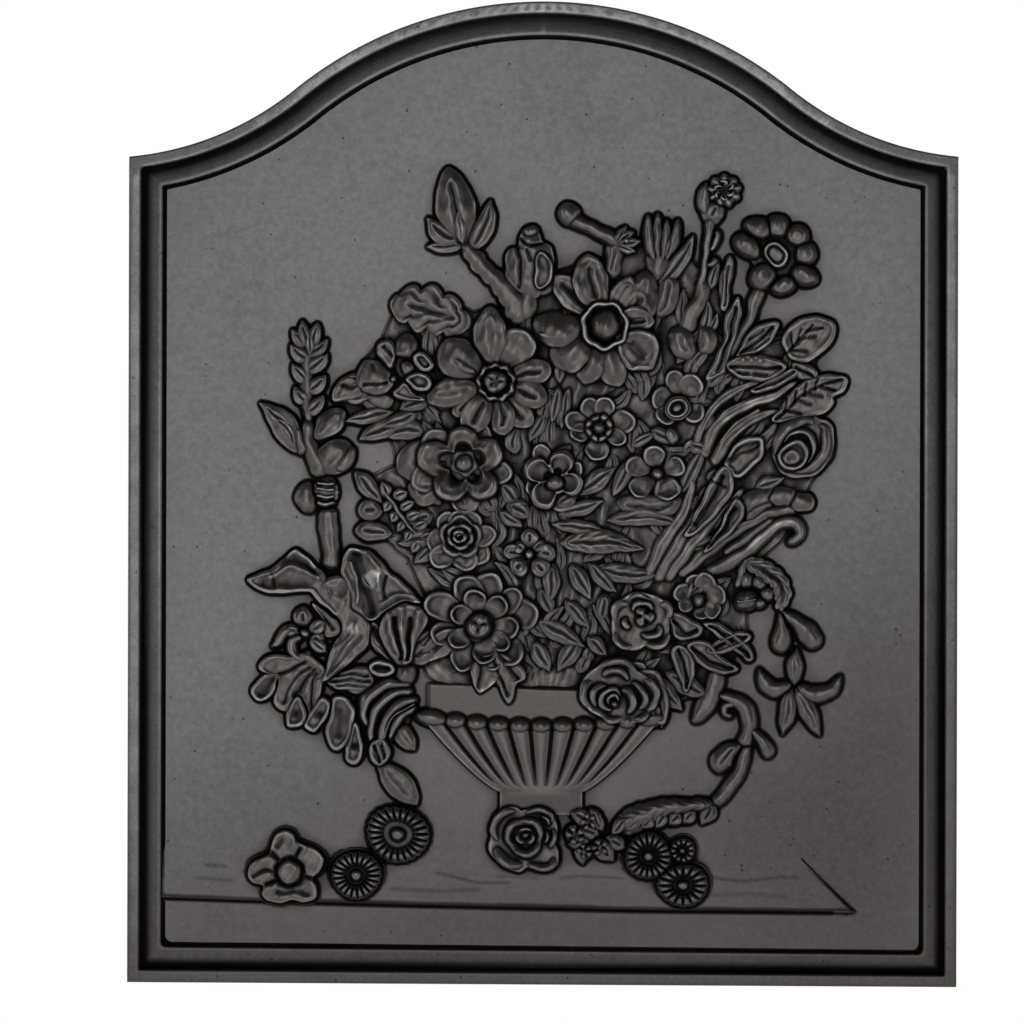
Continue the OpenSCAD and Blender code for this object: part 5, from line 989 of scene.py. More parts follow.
handle = dict(rise=5.6)
p = begin("vine_handle", handle)
stem([108, 178, 116, 176, 124, 170.5, 127.5, 162, 126, 154, 122, 147], [5, 7, 9, 9.5, 9, 9], p.rise)
stem([121, 173, 114, 172, 112.5, 167, 117, 164], [5, 5.5, 4.6, 3.6], p.rise - 0.6)
stem([122, 148, 115, 143, 110, 137, 108.5, 130], [7, 10, 14, 12], p.rise, crease=0.2)
stem([128, 158, 133, 152, 138, 145, 138.5, 139], [4.5, 6, 8, 8], p.rise - 0.4)
stem([126, 148, 123.5, 136, 118, 125, 110, 115, 105, 111], [6, 7.5, 8, 8, 7], p.rise - 0.6, streaks=1)
leaf((106, 112), (98.5, 98), 10, 4.8)

garland = dict(rise=6.2)
begin("foot_garland")
stem([106, 111, 97, 110.5, 85, 109, 73, 107, 60, 102, 47, 96], [7, 8, 11, 15, 18, 15], garland["rise"], lobes=9,
    lobeDepth=0.1, veins=9, veinDepth=0.6)
for k in range(6):
    x = 46 + 8.5 * k
    z = 103 + 0.9 * k
    leaf((x + 6, z), (x - 2, z - 11 + 0.6 * k), 8.4, 6.4)
for a, b, w in [((34, 98), (18, 106), 11), ((38, 94), (30, 108), 9), ((30, 90), (16, 86), 11),
        ((34, 88), (44, 76), 12), ((24, 86), (26, 74), 9), ((40, 90), (52, 84), 10), ((36, 92), (22, 96), 9)]:
    leaf(a, b, w, 6.2, lobes=2, lobeDepth=0.12)
for at, r in (((21, 92), 6), ((29, 100), 5.4), ((36, 84), 5), ((27, 82), 5)):
    disc(at, r, [(0, 0.7), (0.3, 0.75), (0.6, 1), (1, 0.8)], 7.2, petals=5, groove=0.4)
print("leaves made")


urn = dict(footZ=104, waistZ=118, rimZ=158, sag=6.0, bowlW=148, waistW=50, flutes=11, rise=6.4, neckW=142,
    neckTop=180)


def rimAt(t):
    return urn["bowlW"] / 2 * t, urn["rimZ"] + urn["sag"] * t * t


# Across the bowl t runs from -1 to 1, and v up from the waist to the rim. Its half width swells as v^0.78. Flat
# ribs are parted by grooves, each a sharp bump and a broad one, that run out towards the waist. The same skin
# goes on down as the foot, with a small flare at its base.
def fluteBowl():
    u = urn
    t = linspace(1, -1, 44 * u["flutes"] // 2 + 1)[None]
    v = linspace(0, 1, 46)[:, None]
    waist, top = u["waistW"] / 2, u["bowlW"] * 0.485
    half = waist + (top - waist) * v ** 0.78
    z0 = u["waistZ"] + v * (u["rimZ"] - 2.5 + u["sag"] * t * t - u["waistZ"])
    phase = (t + 1) / 2 * u["flutes"]
    pitch = 2 * half / u["flutes"]
    off = np.abs(phase - clip(np.round(phase), 1, u["flutes"] - 1)) * pitch
    sharp = bump(off, 0, np.minimum(0.95, 0.17 * pitch))
    broad = bump(off, 0, np.minimum(3.0, 0.36 * pitch))
    deep = clip((v - 0.08) / 0.5, 0, 1) ** 0.9
    body = u["rise"] * (0.35 + 0.65 * np.sqrt(clip(1 - 0.72 * t ** 2, 0, 1)))
    h = body * (1 - deep * (0.4 * sharp + 0.12 * broad))
    foot = linspace(0, 1, 15)[:, None]
    flare = waist + 4.5 * clip(1 - foot / 0.35, 0, 1) ** 2
    low = dstack([t * flare, u["footZ"] + foot * (u["waistZ"] - u["footZ"]) + 0 * t,
        body * (0.5 + 0.5 * sin(math.pi / 2 * foot))])
    return dstack([t * half, z0, h + 0 * v]), low


# Adds a short steep wall along both sides of an open grid, down to the board.
def closedSides(grid):
    out = array([0.25, 0.5, 0.75, 2.0, 2.4])[None, :, None]
    share = array([0.8, 0.4, 0.03, 0.012, -0.03])[None, :, None]
    sides = []
    for edge, near in ((grid[:, :1], grid[:, 1:2]), (grid[:, -1:], grid[:, -2:-1])):
        away = edge[:, :, :2] - near[:, :, :2]
        away = away / (np.linalg.norm(away, axis=2)[:, :, None] + 1e-9)
        sides.append(concatenate([edge[:, :, :2] + away * out, edge[:, :, 2:] * share], axis=2))
    return concatenate([sides[0][:, ::-1], grid, sides[1]], axis=1)


bowlGrid, footGrid = fluteBowl()
carvings["urn_bowl"] = [closedSides(bowlGrid)]
carvings["urn_foot"] = [closedSides(footGrid)]
openGrids = {"urn_bowl", "urn_foot", "urn_neck"}

beads = dict(count=9, r=6.6, rise=8.0)
begin("urn_beads")
for i in range(beads["count"]):
    x = (i - (beads["count"] - 1) / 2) * urn["bowlW"] * 0.8 / beads["count"]
    at = rimAt(2 * x / urn["bowlW"])
    ball(at, beads["r"], beads["rise"], stretch=0.72)
for side in (-1, 1):
    x, z = rimAt(side * 0.9)
    blade([(x - side * 10, z - 1.6), (x, z), (x + side * 10.5, z + 1.6)], 10, 7.2, belly=1, point=0.5, dome=0.45,
        crease=0)

neck = dict(low=160, rise=2.0, slope=(3.2, 1.0), top=[(-71.5, 184.5), (-40, 184), (0, 181.5), (71.5, 180)])
x = linspace(urn["neckW"] / 2, -urn["neckW"] / 2, 260)
topZ = interp(x, *array(neck["top"]).T)
up = concatenate([linspace(0, 1, 32), [1, 1, 1]])[:, None]
z = neck["low"] + up * (topZ - neck["low"])[None]
z[-3:] += array([0.15, 0.35, 1.2])[:, None]
fromEdge = np.minimum((topZ - z) / neck["slope"][1], (x + urn["neckW"] / 2) / neck["slope"][0])
h = 0.1 + (neck["rise"] - 0.1) * clip(fromEdge, 0, 1) ** 0.8
h = h * concatenate([np.ones(33), [0.4, -0.5]])[:, None]
carvings["urn_neck"] = [closedSides(dstack([x + 0 * up, z, h]))]
print("urn made")


table = dict(left=-233, right=189, deep=35, rise=1.6, lip=0.7, groove=0.9, front=[(-240, 51.6), (-170, 49.4),
    (-95, 47.8), (-13, 46.3), (60, 45), (190, 44.4)], corner=[(159.4, 77.6), (174, 63), (190.5, 46.6)])
# lines painted dark, as soot and as painted shadow under the table's edges: path, half width, how black
sootShadowLines = [(table["front"][1:-1] + [(178, 44.6)], 1.25, 1.0), ([(-240, 51.4), (-200, 50.3), (-170, 49.4)], 1.1, 1.0),
    (table["corner"][:2], 0.42, 1.0), (table["corner"][1:], 0.62, 1.0), ([(186, 43), (190, 41.4)], 0.5, 0.6),
    ([(103, 66), (124, 63.6), (146, 66.4), (157, 66)], 0.8, 0.14), ([(-26, 66), (-2, 65)], 0.9, 0.1),
    ([(12, 65), (24, 66.4), (50, 65.2)], 0.7, 0.12), ([(-64, 68), (-52, 65), (-38, 62), (-20, 62)], 0.8, 0.14),
    ([(-206, 72), (-194, 71.4)], 0.9, 0.16), ([(-212, 64), (-190, 62.6)], 1.0, 0.1), ([(-92, 58), (-60, 56.6),
    (-38, 58)], 1.0, 0.1), ([(98, 55), (130, 56), (150, 54)], 1.0, 0.07)]


# x runs across and v back from the front edge. Height = rise * (1 - v)^1.3 + a small lip along the front. A
# slanting scored line marks the right corner.
def tableGrid():
    s = SimpleNamespace(**table)
    x = concatenate([linspace(s.right + 8, 152, 120), linspace(152, s.left - 4, 330)[1:]])[None]
    v = (linspace(0, 1, 64)[:, None]) ** 1.25
    front = interp(x, *array(s.front).T)
    z0 = front + 0.9 + v * s.deep + 0 * x
    h = s.rise * clip(1 - v, 0, 1) ** 1.3 + s.lip * bump(v * s.deep, 0, 1.3)
    h = h + 0.12 * castWave(x * 0.25, z0 * 3, 22) - 0.12
    a, b = array(s.corner[-1]), array(s.corner[0])
    d = (b - a) / np.linalg.norm(b - a)
    side = (x - a[0]) * d[1] - (z0 - a[1]) * d[0]
    h = h - s.groove * bump(side, 0, 0.9)
    beyond = clip(side / 0.9, 0, 1)
    h = np.maximum(h * (1 - beyond), 0.02) - 0.3 * clip((side - 1.6) / 0.8, 0, 1)
    h = h - 0.3 * clip((v - 0.93) / 0.07, 0, 1)
    return dstack([x + 0 * v, z0, h])


slab = tableGrid()
lip = np.repeat(slab[:1], 6, axis=0)
lip[:, :, 1] -= array([0.2, 0.4, 0.6, 1.4, 2.4, 3.2])[:, None]
lip[:, :, 2] = lip[:, :, 2] * array([0.85, 0.4, 0.04, 0.02, 0.02,
    0.01])[:, None] - array([0, 0, 0, 0, 0, 0.12])[:, None]
carvings["table_top"] = [concatenate([lip[::-1], slab])]
openGrids.add("table_top")
print("table made")


border = dict(rimW=7.6, rimH=8.0, channel=0.9, cove=3.0, width=21.0, footWide=(1.07, 0.97), shoulderZ=507.0,
    crownR=242.0, sweepR=188.0, footRound=[(0, 0.4), (6.5, 0.6), (8, 2.0), (20, 3.8), (24, 4.2)], topRound=[(0, 0.4),
    (6.8, 0.8), (8.2, 4.6), (16, 3.6), (20, 1.4), (24, 1.2)])
halfW = plateW / 2
crownR, sweepR = border["crownR"], border["sweepR"]


# Height over the inset from the board's edge: a flat rim with soft corners, a steep wall down into a hollow,
# the hollow swelling up to a rounded inner edge, and the drop to the field.
def borderProfile():
    w, h, low, cove, end = (border[k] for k in ("rimW", "rimH", "channel", "cove", "width"))
    return array([(0.0, 0.0), (0.12, 3.0), (0.25, h - 1.5), (0.45, h - 0.65), (0.9, h - 0.22), (1.7, h - 0.03),
        (3.4, h), (w - 1.0, h), (w - 0.45, h - 0.2), (w - 0.15, h - 0.8), (w + 0.1, h - 2.2), (w + 0.4, 3.8),
        (w + 0.9, 1.9), (w + 1.8, low), (w + 3.3, low - 0.1), (w + 4.2, low + 0.25), (w + 5.6, 1.7), (w + 7.5, 2.3),
        (w + 9.8, cove - 0.2), (w + 11.2, cove), (end - 1.1, cove - 0.1), (end - 0.6, 2.4), (end - 0.3, 1.2),
        (end, 0.25), (end + 0.4, 0.05), (end + 2.2, 0.03), (end + 3.0, -0.4)])


profile = borderProfile()
fineAt = interp(linspace(0, 1, 64), linspace(0, 1, len(profile)), np.arange(len(profile)))
inset = interp(fineAt, np.arange(len(profile)), profile[:, 0])
ledge = interp(fineAt, np.arange(len(profile)), profile[:, 1])

crownMid = array([0.0, plateH - crownR])
shoulder = array([halfW, border["shoulderZ"]])
reach = np.linalg.norm(shoulder - crownMid)
alongTo = (shoulder - crownMid) / reach
span = crownR + sweepR
footOf = (span ** 2 - sweepR ** 2 + reach ** 2) / (2 * reach)
off = math.sqrt(span ** 2 - footOf ** 2)
sweepMid = crownMid + footOf * alongTo + off * array([-alongTo[1], alongTo[0]])
turnTo = (sweepMid - crownMid) / span
crownHalf = math.atan2(turnTo[0], turnTo[1])


footRadius = interp(inset, *array(border["footRound"]).T)
topRadius = interp(inset, *array(border["topRound"]).T)


# Where a rounded corner crosses the line that halves it, measured along the side.
def cornerStart(radius, half):
    return radius * (1 / sin(half) - 1) * cos(half)


# How far a line stands off its side near a rounded corner, u along the side: the arc touches the side at radius
# / tan(half the corner's angle).
def cornerInward(u, radius, half):
    touch = radius / np.tan(half)
    return radius - np.sqrt(clip(radius ** 2 - clip(touch - u, 0, None) ** 2, 0, None))


# The round top at an inset from the edge, walked from right to left: a hollow sweep, the crown, and the sweep
# mirrored. The sweep's radius grows with the inset and the crown's shrinks. It starts at the rounded corner
# where the sweep meets the side.
def archPath(away):
    sweep = (sweepR + away)[None]
    dx = halfW - away - sweepMid[0]
    lean = np.arcsin(-dx / sweep[0])
    half = (math.pi / 2 + lean)[None] / 2
    a0 = -math.pi / 2 - lean[None]
    a1 = math.atan2(-turnTo[1], -turnTo[0])
    s = concatenate([linspace(0, 0.06, 22), linspace(0.06, 1, 84)[1:]])[:, None]
    start = a0 - cornerStart(topRadius, half) / sweep
    a1 = a1 - 2 * math.pi if a1 > 0 else a1
    angle = start + (a1 - start) * s
    radius = sweep + cornerInward(np.abs(angle - a0) * sweep, topRadius[None], half)
    right = dstack([sweepMid[0] + radius * cos(angle), sweepMid[1] + radius * sin(angle)])
    c = linspace(crownHalf, -crownHalf, 200)[1:-1, None]
    crown = dstack([(crownR - away[None]) * sin(c), crownMid[1] + (crownR - away[None]) * cos(c)])
    left = right[::-1].copy()
    left[:, :, 0] *= -1
    return concatenate([right, crown, left]), half[0]


# Height of the board's top edge over x.
def boardTop(x):
    out = np.abs(x)
    crown = crownMid[1] + np.sqrt(clip(crownR ** 2 - out ** 2, 0, None))
    sweep = sweepMid[1] - np.sqrt(clip(sweepR ** 2 - (out - sweepMid[0]) ** 2, 0, None))
    return np.where(out < crownMid[0] + crownR * turnTo[0], crown, sweep)


ends = np.arange(0, 8, 0.4) / 500
alongSide = concatenate([ends, linspace(8 / 500, 1 - 8 / 500, 240), 1 - ends[::-1]])[:, None]


# A straight moulding from corner to corner: each line of the profile ends in half a rounded corner, so that
# neighbours meet on the line that halves it.
def sideLines(start, stop, inward, radii, halves):
    run = stop - start
    far = np.linalg.norm(run, axis=1)
    first, last = cornerStart(radii[0], halves[0]), cornerStart(radii[1], halves[1])
    u = first + alongSide * (far - first - last)
    v = cornerInward(u, radii[0], halves[0]) + cornerInward(far - u, radii[1], halves[1])
    return start[None] + (run / far[:, None])[None] * u[:, :, None] + array(inward)[None, None] * v[:, :, None]


def addMoulding(node, lines):
    h = np.repeat(ledge[None], len(lines), 0)
    x, z = lines[:, :, 0], lines[:, :, 1]
    h = h + 0.04 * (castWave(x, z, 60, 1.0) - 1) * clip(h, 0, 1)
    carvings[node] = [dstack([x, z, h])]
    openGrids.add(node)


arch, shoulderHalf = archPath(inset)
footHalf = np.full(len(inset), math.pi / 4)
rightLow = stack([halfW - inset, border["footWide"][1] * inset], 1)
rightTop = stack([halfW - inset, sweepMid[1] - np.sqrt((sweepR + inset) ** 2 - (halfW - inset - sweepMid[0]) ** 2)],
    1)
rightSide = sideLines(rightLow, rightTop, (-1, 0), (footRadius, topRadius), (footHalf, shoulderHalf))
addMoulding("border_right", rightSide)
leftLow = stack([inset - halfW, border["footWide"][0] * inset], 1)
leftTop = rightTop * array([-1, 1])
addMoulding("border_left", sideLines(leftTop, leftLow, (1, 0), (topRadius, footRadius), (shoulderHalf, footHalf)))
addMoulding("border_foot", sideLines(leftLow, rightLow, (0, 1), (footRadius, footRadius), (footHalf, footHalf)))
addMoulding("border_arch", arch)
print("border made")


cell = 0.5
mapW, mapH = 1024, 1216
heights = np.zeros(mapW * mapH)


# Points filled in between a grid's own, in straight lines both ways.
def refine(grid, closed, times=4):
    f = (np.arange(times) / times)[None, :, None, None]
    a = grid[:-1][:, None] * (1 - f) + grid[1:][:, None] * f
    a = a.reshape(-1, grid.shape[1], 3)
    b = np.roll(a, -1, 1) if closed else a[:, 1:]
    a = a if closed else a[:, :-1]
    g = (np.arange(times) / times)[None, None, :, None]
    return (a[:, :, None] * (1 - g) + b[:, :, None] * g).reshape(-1, 3)


def mapIndex(x, z):
    col = clip(np.round((x + plateW / 2) / cell).astype(int) + 2, 0, mapW - 1)
    row = clip(np.round(z / cell).astype(int) + 4, 0, mapH - 1)
    return row * mapW + col


for node, grids in carvings.items():
    for grid in grids:
        pts = refine(grid, node not in openGrids, 3 if node in openGrids else 4)
        np.maximum.at(heights, mapIndex(pts[:, 0], pts[:, 1]), pts[:, 2])
heights = heights.reshape(mapH, mapW)


# Gaussian blur of the map, sigma in millimetres, by Fourier transform.
def blurred(field, sigma):
    fy = np.fft.fftfreq(mapH)[:, None]
    fx = np.fft.rfftfreq(mapW)[None]
    return np.fft.irfft2(np.fft.rfft2(field) * np.exp(-2 * (math.pi * sigma / cell) ** 2 * (fx ** 2 + fy ** 2)),
        s=field.shape)


blurs = (0.9, 2.4, 7.0, 22.0)                    # close by, near, further off and all round
around = {sigma: blurred(heights, sigma) for sigma in blurs}
print("height map", heights.max())


# where the soot and painted shade in hollows start and how soon they are full, in tight corners and under wider
# surroundings, and an even film
sootShadeLimits = dict(tightFrom=0.08, tightOver=0.45, wideFrom=1.3, wideOver=2.4, film=0.06)
# soot and painted shade in tight corners, where it starts and is full, and its share near by and further off
sootShadeIn = dict(relief_iron=(1, 0.42, 1.5, 0.9, 0.8), field_iron=(1, 0.8, 2.0, 0.6, 0.3),
    border_iron=(1, -0.1, 1.7, 1.0, 0.8), board=(0, 0.9, 2.2, 0.4, 0.25), urn_neck=(0.9, 1.6, 3.6, 0.2, 0.0),
    urn_bowl=(0.75, 1.0, 2.4, 0.6, 0.5))


sootShadeOf = dict(urnNeck="urn_neck", urnBowl="urn_bowl")       # pieces whose soot and painted shade differ from their slot's


# The map's value between its cells.
def sampled(field, x, z):
    c = clip((x + plateW / 2) / cell + 2, 0, mapW - 2)
    r = clip(z / cell + 4, 0, mapH - 2)
    i, j = r.astype(int), c.astype(int)
    f, g = r - i, c - j
    return ((field[i, j] * (1 - g) + field[i, j + 1] * g) * (1 - f) + (field[i + 1, j] * (1 - g)
        + field[i + 1, j + 1] * g) * f)


# For each point (x, z, height): how deep it lies under its surroundings near and further off, how far it stands
# proud of them, and how high the ground round it is.
def hollowAndRidge(points, slot):
    x, z, h = points.T
    tightShare, start, full, nearShare, farShare = sootShadeIn[slot]
    if slot == "border_iron":                # less soot and painted shade along the arch than low down
        arched = clip((z - 500) / 60, 0, 1)
        start = start + 0.65 * arched
    near, mid, far, broad = (sampled(around[sigma], x, z) for sigma in blurs)
    # soot plus painted shade where a point lies under its surroundings: in tight creases and at the feet of forms,
    # and in recesses near by and further off
    tight = clip((near - h - sootShadeLimits["tightFrom"]) / sootShadeLimits["tightOver"], 0, 1)
    close = clip((mid - h - start) / full, 0, 1)
    wide = clip((far - h - sootShadeLimits["wideFrom"]) / sootShadeLimits["wideOver"], 0, 1)
    hollow = 1 - (1 - tightShare * tight) * (1 - nearShare * close) * (1 - farShare * wide)
    ridge = clip((h - near) / 0.5, 0, 1) * clip((h - mid + 0.4) / 1.2, 0, 1)
    if slot == "border_iron":                # the groove between the moulding and the field is black with soot and painted shade
        low = clip((24 - z) / 4, 0, 1)
        hollow = np.maximum(hollow * (1 - 0.09 * arched), clip((0.14 - h) / 0.06, 0, 1) * (1
            - low * clip((0.041 - h) / 0.006, 0, 1)))
        # the lighter worn edges, which also carry painted highlight, fade towards the foot
        ridge = ridge * clip(0.25 + z / 60, 0, 1)
    if slot == "urn_neck":                   # a thin even film
        hollow = np.maximum(hollow, sootShadeLimits["film"])
    if slot == "field_iron":
        # soot and painted shadow along the table's edge and its scored lines
        for path, wide, black in sootShadowLines:
            off = offPath(path, x, z)
            hollow = np.maximum(hollow, black * clip(1.6 - off / wide, 0, 1))
    return hollow, ridge, clip(broad / 4.0, 0, 1)


def onBoard(points):
    return stack([points[:, 0] * mm, faceY - points[:, 2] * mm, points[:, 1] * mm], 1)


def gridFaces(rows, cols, closed, start):
    i = np.arange(rows - 1)[:, None] * cols
    j = np.arange(cols if closed else cols - 1)[None]
    n = (j + 1) % cols
    return stack([i + j, i + n, i + cols + n, i + cols + j], -1).reshape(-1, 4) + start


# A mesh from arrays: quads, then flat ones, then the closing faces, each a list of points.
def makeMesh(name, slot, points, quads, caps, flat=()):
    rounded = len(quads)
    quads = concatenate([quads, *flat])
    mesh = bpy.data.meshes.new(name)
    loops = concatenate([quads.ravel()] + [np.asarray(c) for c in caps]).astype(np.int32)
    sizes = concatenate([np.full(len(quads), 4), [len(c) for c in caps]]).astype(np.int32)
    mesh.vertices.add(len(points))
    mesh.vertices.foreach_set("co", onBoard(points).astype(np.float32).ravel())
    mesh.loops.add(len(loops))
    mesh.loops.foreach_set("vertex_index", loops)
    mesh.polygons.add(len(sizes))
    mesh.polygons.foreach_set("loop_start", (np.cumsum(sizes) - sizes).astype(np.int32))
    mesh.update(calc_edges=True)
    mesh.polygons.foreach_set("use_smooth", np.arange(len(sizes)) < rounded)
    mesh.validate()
    bm = bmesh.new()
    bm.from_mesh(mesh)
    bmesh.ops.remove_doubles(bm, verts=bm.verts, dist=2e-6)
    bmesh.ops.dissolve_degenerate(bm, edges=bm.edges, dist=1e-7)
    if bm.calc_volume(signed=True) < 0:      # an open grid laid the other way round
        bmesh.ops.reverse_faces(bm, faces=bm.faces)
    bm.to_mesh(mesh)
    bm.free()
    if len(flat):                            # a hard edge where the carved face meets its flat sides
        edgeOf, smooth, sides = (np.empty(n, kind) for n, kind in ((len(mesh.loops), np.int32),
            (len(mesh.polygons), bool), (len(mesh.polygons), np.int32)))
        mesh.loops.foreach_get("edge_index", edgeOf)
        mesh.polygons.foreach_get("use_smooth", smooth)
        mesh.polygons.foreach_get("loop_total", sides)
        perLoop = np.repeat(smooth, sides)
        touched = np.zeros((2, len(mesh.edges)), bool)
        touched[0, edgeOf[perLoop]] = True
        touched[1, edgeOf[~perLoop]] = True
        mesh.attributes.new("sharp_edge", "BOOLEAN", "EDGE").data.foreach_set("value", touched.all(0))
    co = np.empty(len(mesh.vertices) * 3, np.float32)
    mesh.vertices.foreach_get("co", co)
    co = co.reshape(-1, 3)
    hollow, ridge, ground = hollowAndRidge(stack([co[:, 0], co[:, 2], faceY - co[:, 1]], 1) / mm,
        sootShadeOf.get(name, slot))
    front = (co[:, 1] < faceY + 0.002).astype(np.float32)
    for label, values in (("hollow", hollow * front), ("ridge", ridge * front), ("ground", ground * front)):
        mesh.attributes.new(label, "FLOAT", "POINT").data.foreach_set("value", values.astype(np.float32))
    return mesh


def addObject(name, data):
    thing = bpy.data.objects.new(name, data)
    scene.collection.objects.link(thing)
    return thing


def camel(name):
    words = name.split("_")
    return words[0] + "".join(w.capitalize() for w in words[1:])


def slotOf(node):
    if node in ("back_plate", "table_top"):
        return "field_iron"
    return "border_iron" if node.startswith("border") else "relief_iron"


def finishPiece(node, mesh, material):
    piece = addObject(camel(node), mesh)
    mesh.materials.append(material)
    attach(piece, "root")
    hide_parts(node)
    return piece


def link(tree, a, b):
    tree.links.new(a, b)


def emptyTree(owner):
    owner.use_nodes = True
    owner.node_tree.nodes.clear()
    return owner.node_tree


def node(tree, kind, **settings):
    n = tree.nodes.new("ShaderNode" + kind)
    for key, value in settings.items():
        if key in n.bl_rna.properties:
            setattr(n, key, value)
        else:
            n.inputs[key.replace("_", " ")].default_value = value
    return n


def mathNode(tree, how, a, b=None, c=None, clamp=False):
    n = tree.nodes.new("ShaderNodeMath")
    n.operation = how
    n.use_clamp = clamp
    for socket, value in zip(n.inputs, (a, b, c)):
        if value is None:
            continue
        if isinstance(value, (int, float)):
            socket.default_value = value
        else:
            tree.links.new(value, socket)
    return n.outputs[0]


def mixColour(tree, share, a, b):
    n = tree.nodes.new("ShaderNodeMix")
    n.data_type = "RGBA"
    for socket, value in ((n.inputs[0], share), (n.inputs[6], a), (n.inputs[7], b)):
        if isinstance(value, (int, float, tuple)):
            socket.default_value = value
        else:
            tree.links.new(value, socket)
    return n.outputs[2]


def noiseAt(tree, place, scale, detail=2.0, rough=0.5):
    n = node(tree, "TexNoise", Scale=scale, Detail=detail, Roughness=rough)
    link(tree, place, n.inputs["Vector"])
    return n.outputs["Fac"]


# scale, detail and roughness of each noise
noises = dict(slow=(14, 3), patch=(60, 3, 0.6), peel=(300, 4, 0.6), grain=(1500, 3, 0.6), rare=(95, 1))
pitScale = 170


# Cast iron under old stove black. The iron, mottled by slow noise, darkens from the upper left towards the lower
# right as painted shade.
# On ridges it goes to lighter worn metal, which is real wear and painted highlight and is lighter still on the upper
# part as painted light.
# Where much relief stands round it takes a brownish painted broad shade, and in hollows it goes to soot and painted
# shade. Small pits are dark.
# Roughness rises in the soot and shade and falls with wear. Height: orange peel, sand grain and pits.
def buildSkinGroup():
    g = bpy.data.node_groups.new("castIronSkin", "ShaderNodeTree")
    for label, value in (("Iron", (0.1, 0.1, 0.1, 1)), ("Soot", (0.004, 0.004, 0.004, 1)), ("Worn",
            (0.2, 0.2, 0.2, 1)), ("Bloom", (0.07, 0.06, 0.055, 1)), ("Wear", 0.5), ("Soot Shade Depth", 1.0),
            ("Low", (0.08, 0.075, 0.075, 1)), ("Fade", 0.0), ("Fleck", 0.4), ("Top Light", 0.0), ("Mottle", 0.2),
            ("Pits", 0.5), ("Shine", 0.45)):
        kind = "NodeSocketColor" if isinstance(value, tuple) else "NodeSocketFloat"
        sock = g.interface.new_socket(label, in_out="INPUT", socket_type=kind)
        sock.default_value = value
    for label, kind in (("Colour", "NodeSocketColor"), ("Roughness", "NodeSocketFloat"), ("Height",
            "NodeSocketFloat")):
        g.interface.new_socket(label, in_out="OUTPUT", socket_type=kind)

    def times(a, b, clamp=False):
        return mathNode(g, "MULTIPLY", a, b, clamp=clamp)

    def plus(a, b, clamp=False):
        return mathNode(g, "ADD", a, b, clamp=clamp)

    def less(a, b, clamp=False):
        return mathNode(g, "SUBTRACT", a, b, clamp=clamp)

    gin = g.nodes.new("NodeGroupInput").outputs
    gout = g.nodes.new("NodeGroupOutput").inputs
    place = node(g, "TexCoord").outputs["Object"]
    hollow, ridge, ground = (node(g, "Attribute", attribute_name=a).outputs["Fac"] for a in ("hollow", "ridge",
        "ground"))
    slow, patch, peel, grain, rare = (noiseAt(g, place, *how) for how in noises.values())
    spots = node(g, "TexVoronoi", Scale=pitScale)
    link(g, place, spots.inputs["Vector"])
    pit = times(mathNode(g, "LESS_THAN", spots.outputs["Distance"], 0.13), mathNode(g, "GREATER_THAN", rare, 0.62))
    pit = times(pit, gin["Pits"])
    swing = times(less(plus(slow, patch), 1.0), gin["Mottle"])
    swing = plus(swing, times(less(peel, 0.5), times(gin["Mottle"], 2.6)))
    bright = plus(1.0, times(swing, 2.0))
    fleck = plus(1.0, times(less(grain, 0.5), times(gin["Fleck"], 2.0)))
    bright = times(bright, fleck)
    split = node(g, "SeparateXYZ")
    link(g, place, split.inputs[0])
    # painted shade: the iron goes darker from the upper left towards the lower right
    shadeSlope = plus(times(split.outputs["X"], 1.9), times(split.outputs["Z"], -4.54))
    shadeSlope = plus(plus(shadeSlope, 0.95), times(slow, 0.4))
    spread = node(g, "MapRange", interpolation_type="SMOOTHSTEP", From_Min=-0.3, From_Max=1.05)
    link(g, shadeSlope, spread.inputs["Value"])
    base = mixColour(g, times(spread.outputs[0], gin["Fade"]), gin["Iron"], gin["Low"])
    scaled = node(g, "VectorMath", operation="SCALE")
    link(g, base, scaled.inputs[0])
    link(g, bright, scaled.inputs["Scale"])
    # painted broad shade, brownish, where much relief stands round
    broadShaded = mixColour(g, times(ground, 0.7, clamp=True), scaled.outputs[0], gin["Bloom"])
    # ridges go to the light worn colour: real wear and painted highlight
    wear = times(times(ridge, gin["Wear"]), mathNode(g, "MULTIPLY_ADD", patch, 1.6, -0.2, clamp=True), clamp=True)
    # painted light: the worn colour is lighter on the upper part, where the arch's rim stands
    litTop = node(g, "MapRange", From_Min=0.44, From_Max=0.54)
    link(g, split.outputs["Z"], litTop.inputs["Value"])
    paler = node(g, "VectorMath", operation="SCALE")
    link(g, mixColour(g, times(spread.outputs[0], times(gin["Fade"], 0.8)), gin["Worn"], gin["Low"]), paler.inputs[0])
    link(g, times(plus(1.0, times(litTop.outputs[0], gin["Top Light"])), fleck), paler.inputs["Scale"])
    worn = mixColour(g, wear, broadShaded, paler.outputs[0])
    # soot and painted shade in hollows
    sootShade = times(mathNode(g, "POWER", hollow, 0.8), gin["Soot Shade Depth"], clamp=True)
    sootShaded = mixColour(g, sootShade, worn, gin["Soot"])
    pitted = mixColour(g, times(pit, 0.8), sootShaded, gin["Soot"])
    link(g, pitted, gout["Colour"])
    rough = plus(gin["Shine"], times(less(patch, 0.5), 0.06))
    rough = plus(rough, times(sootShade, 0.35), clamp=True)
    rough = less(rough, times(wear, 0.1), clamp=True)
    link(g, rough, gout["Roughness"])
    high = plus(times(peel, 0.6), times(grain, 0.35))
    high = less(high, times(pit, 1.4))
    link(g, high, gout["Height"])
    return g


skinGroup = buildSkinGroup()
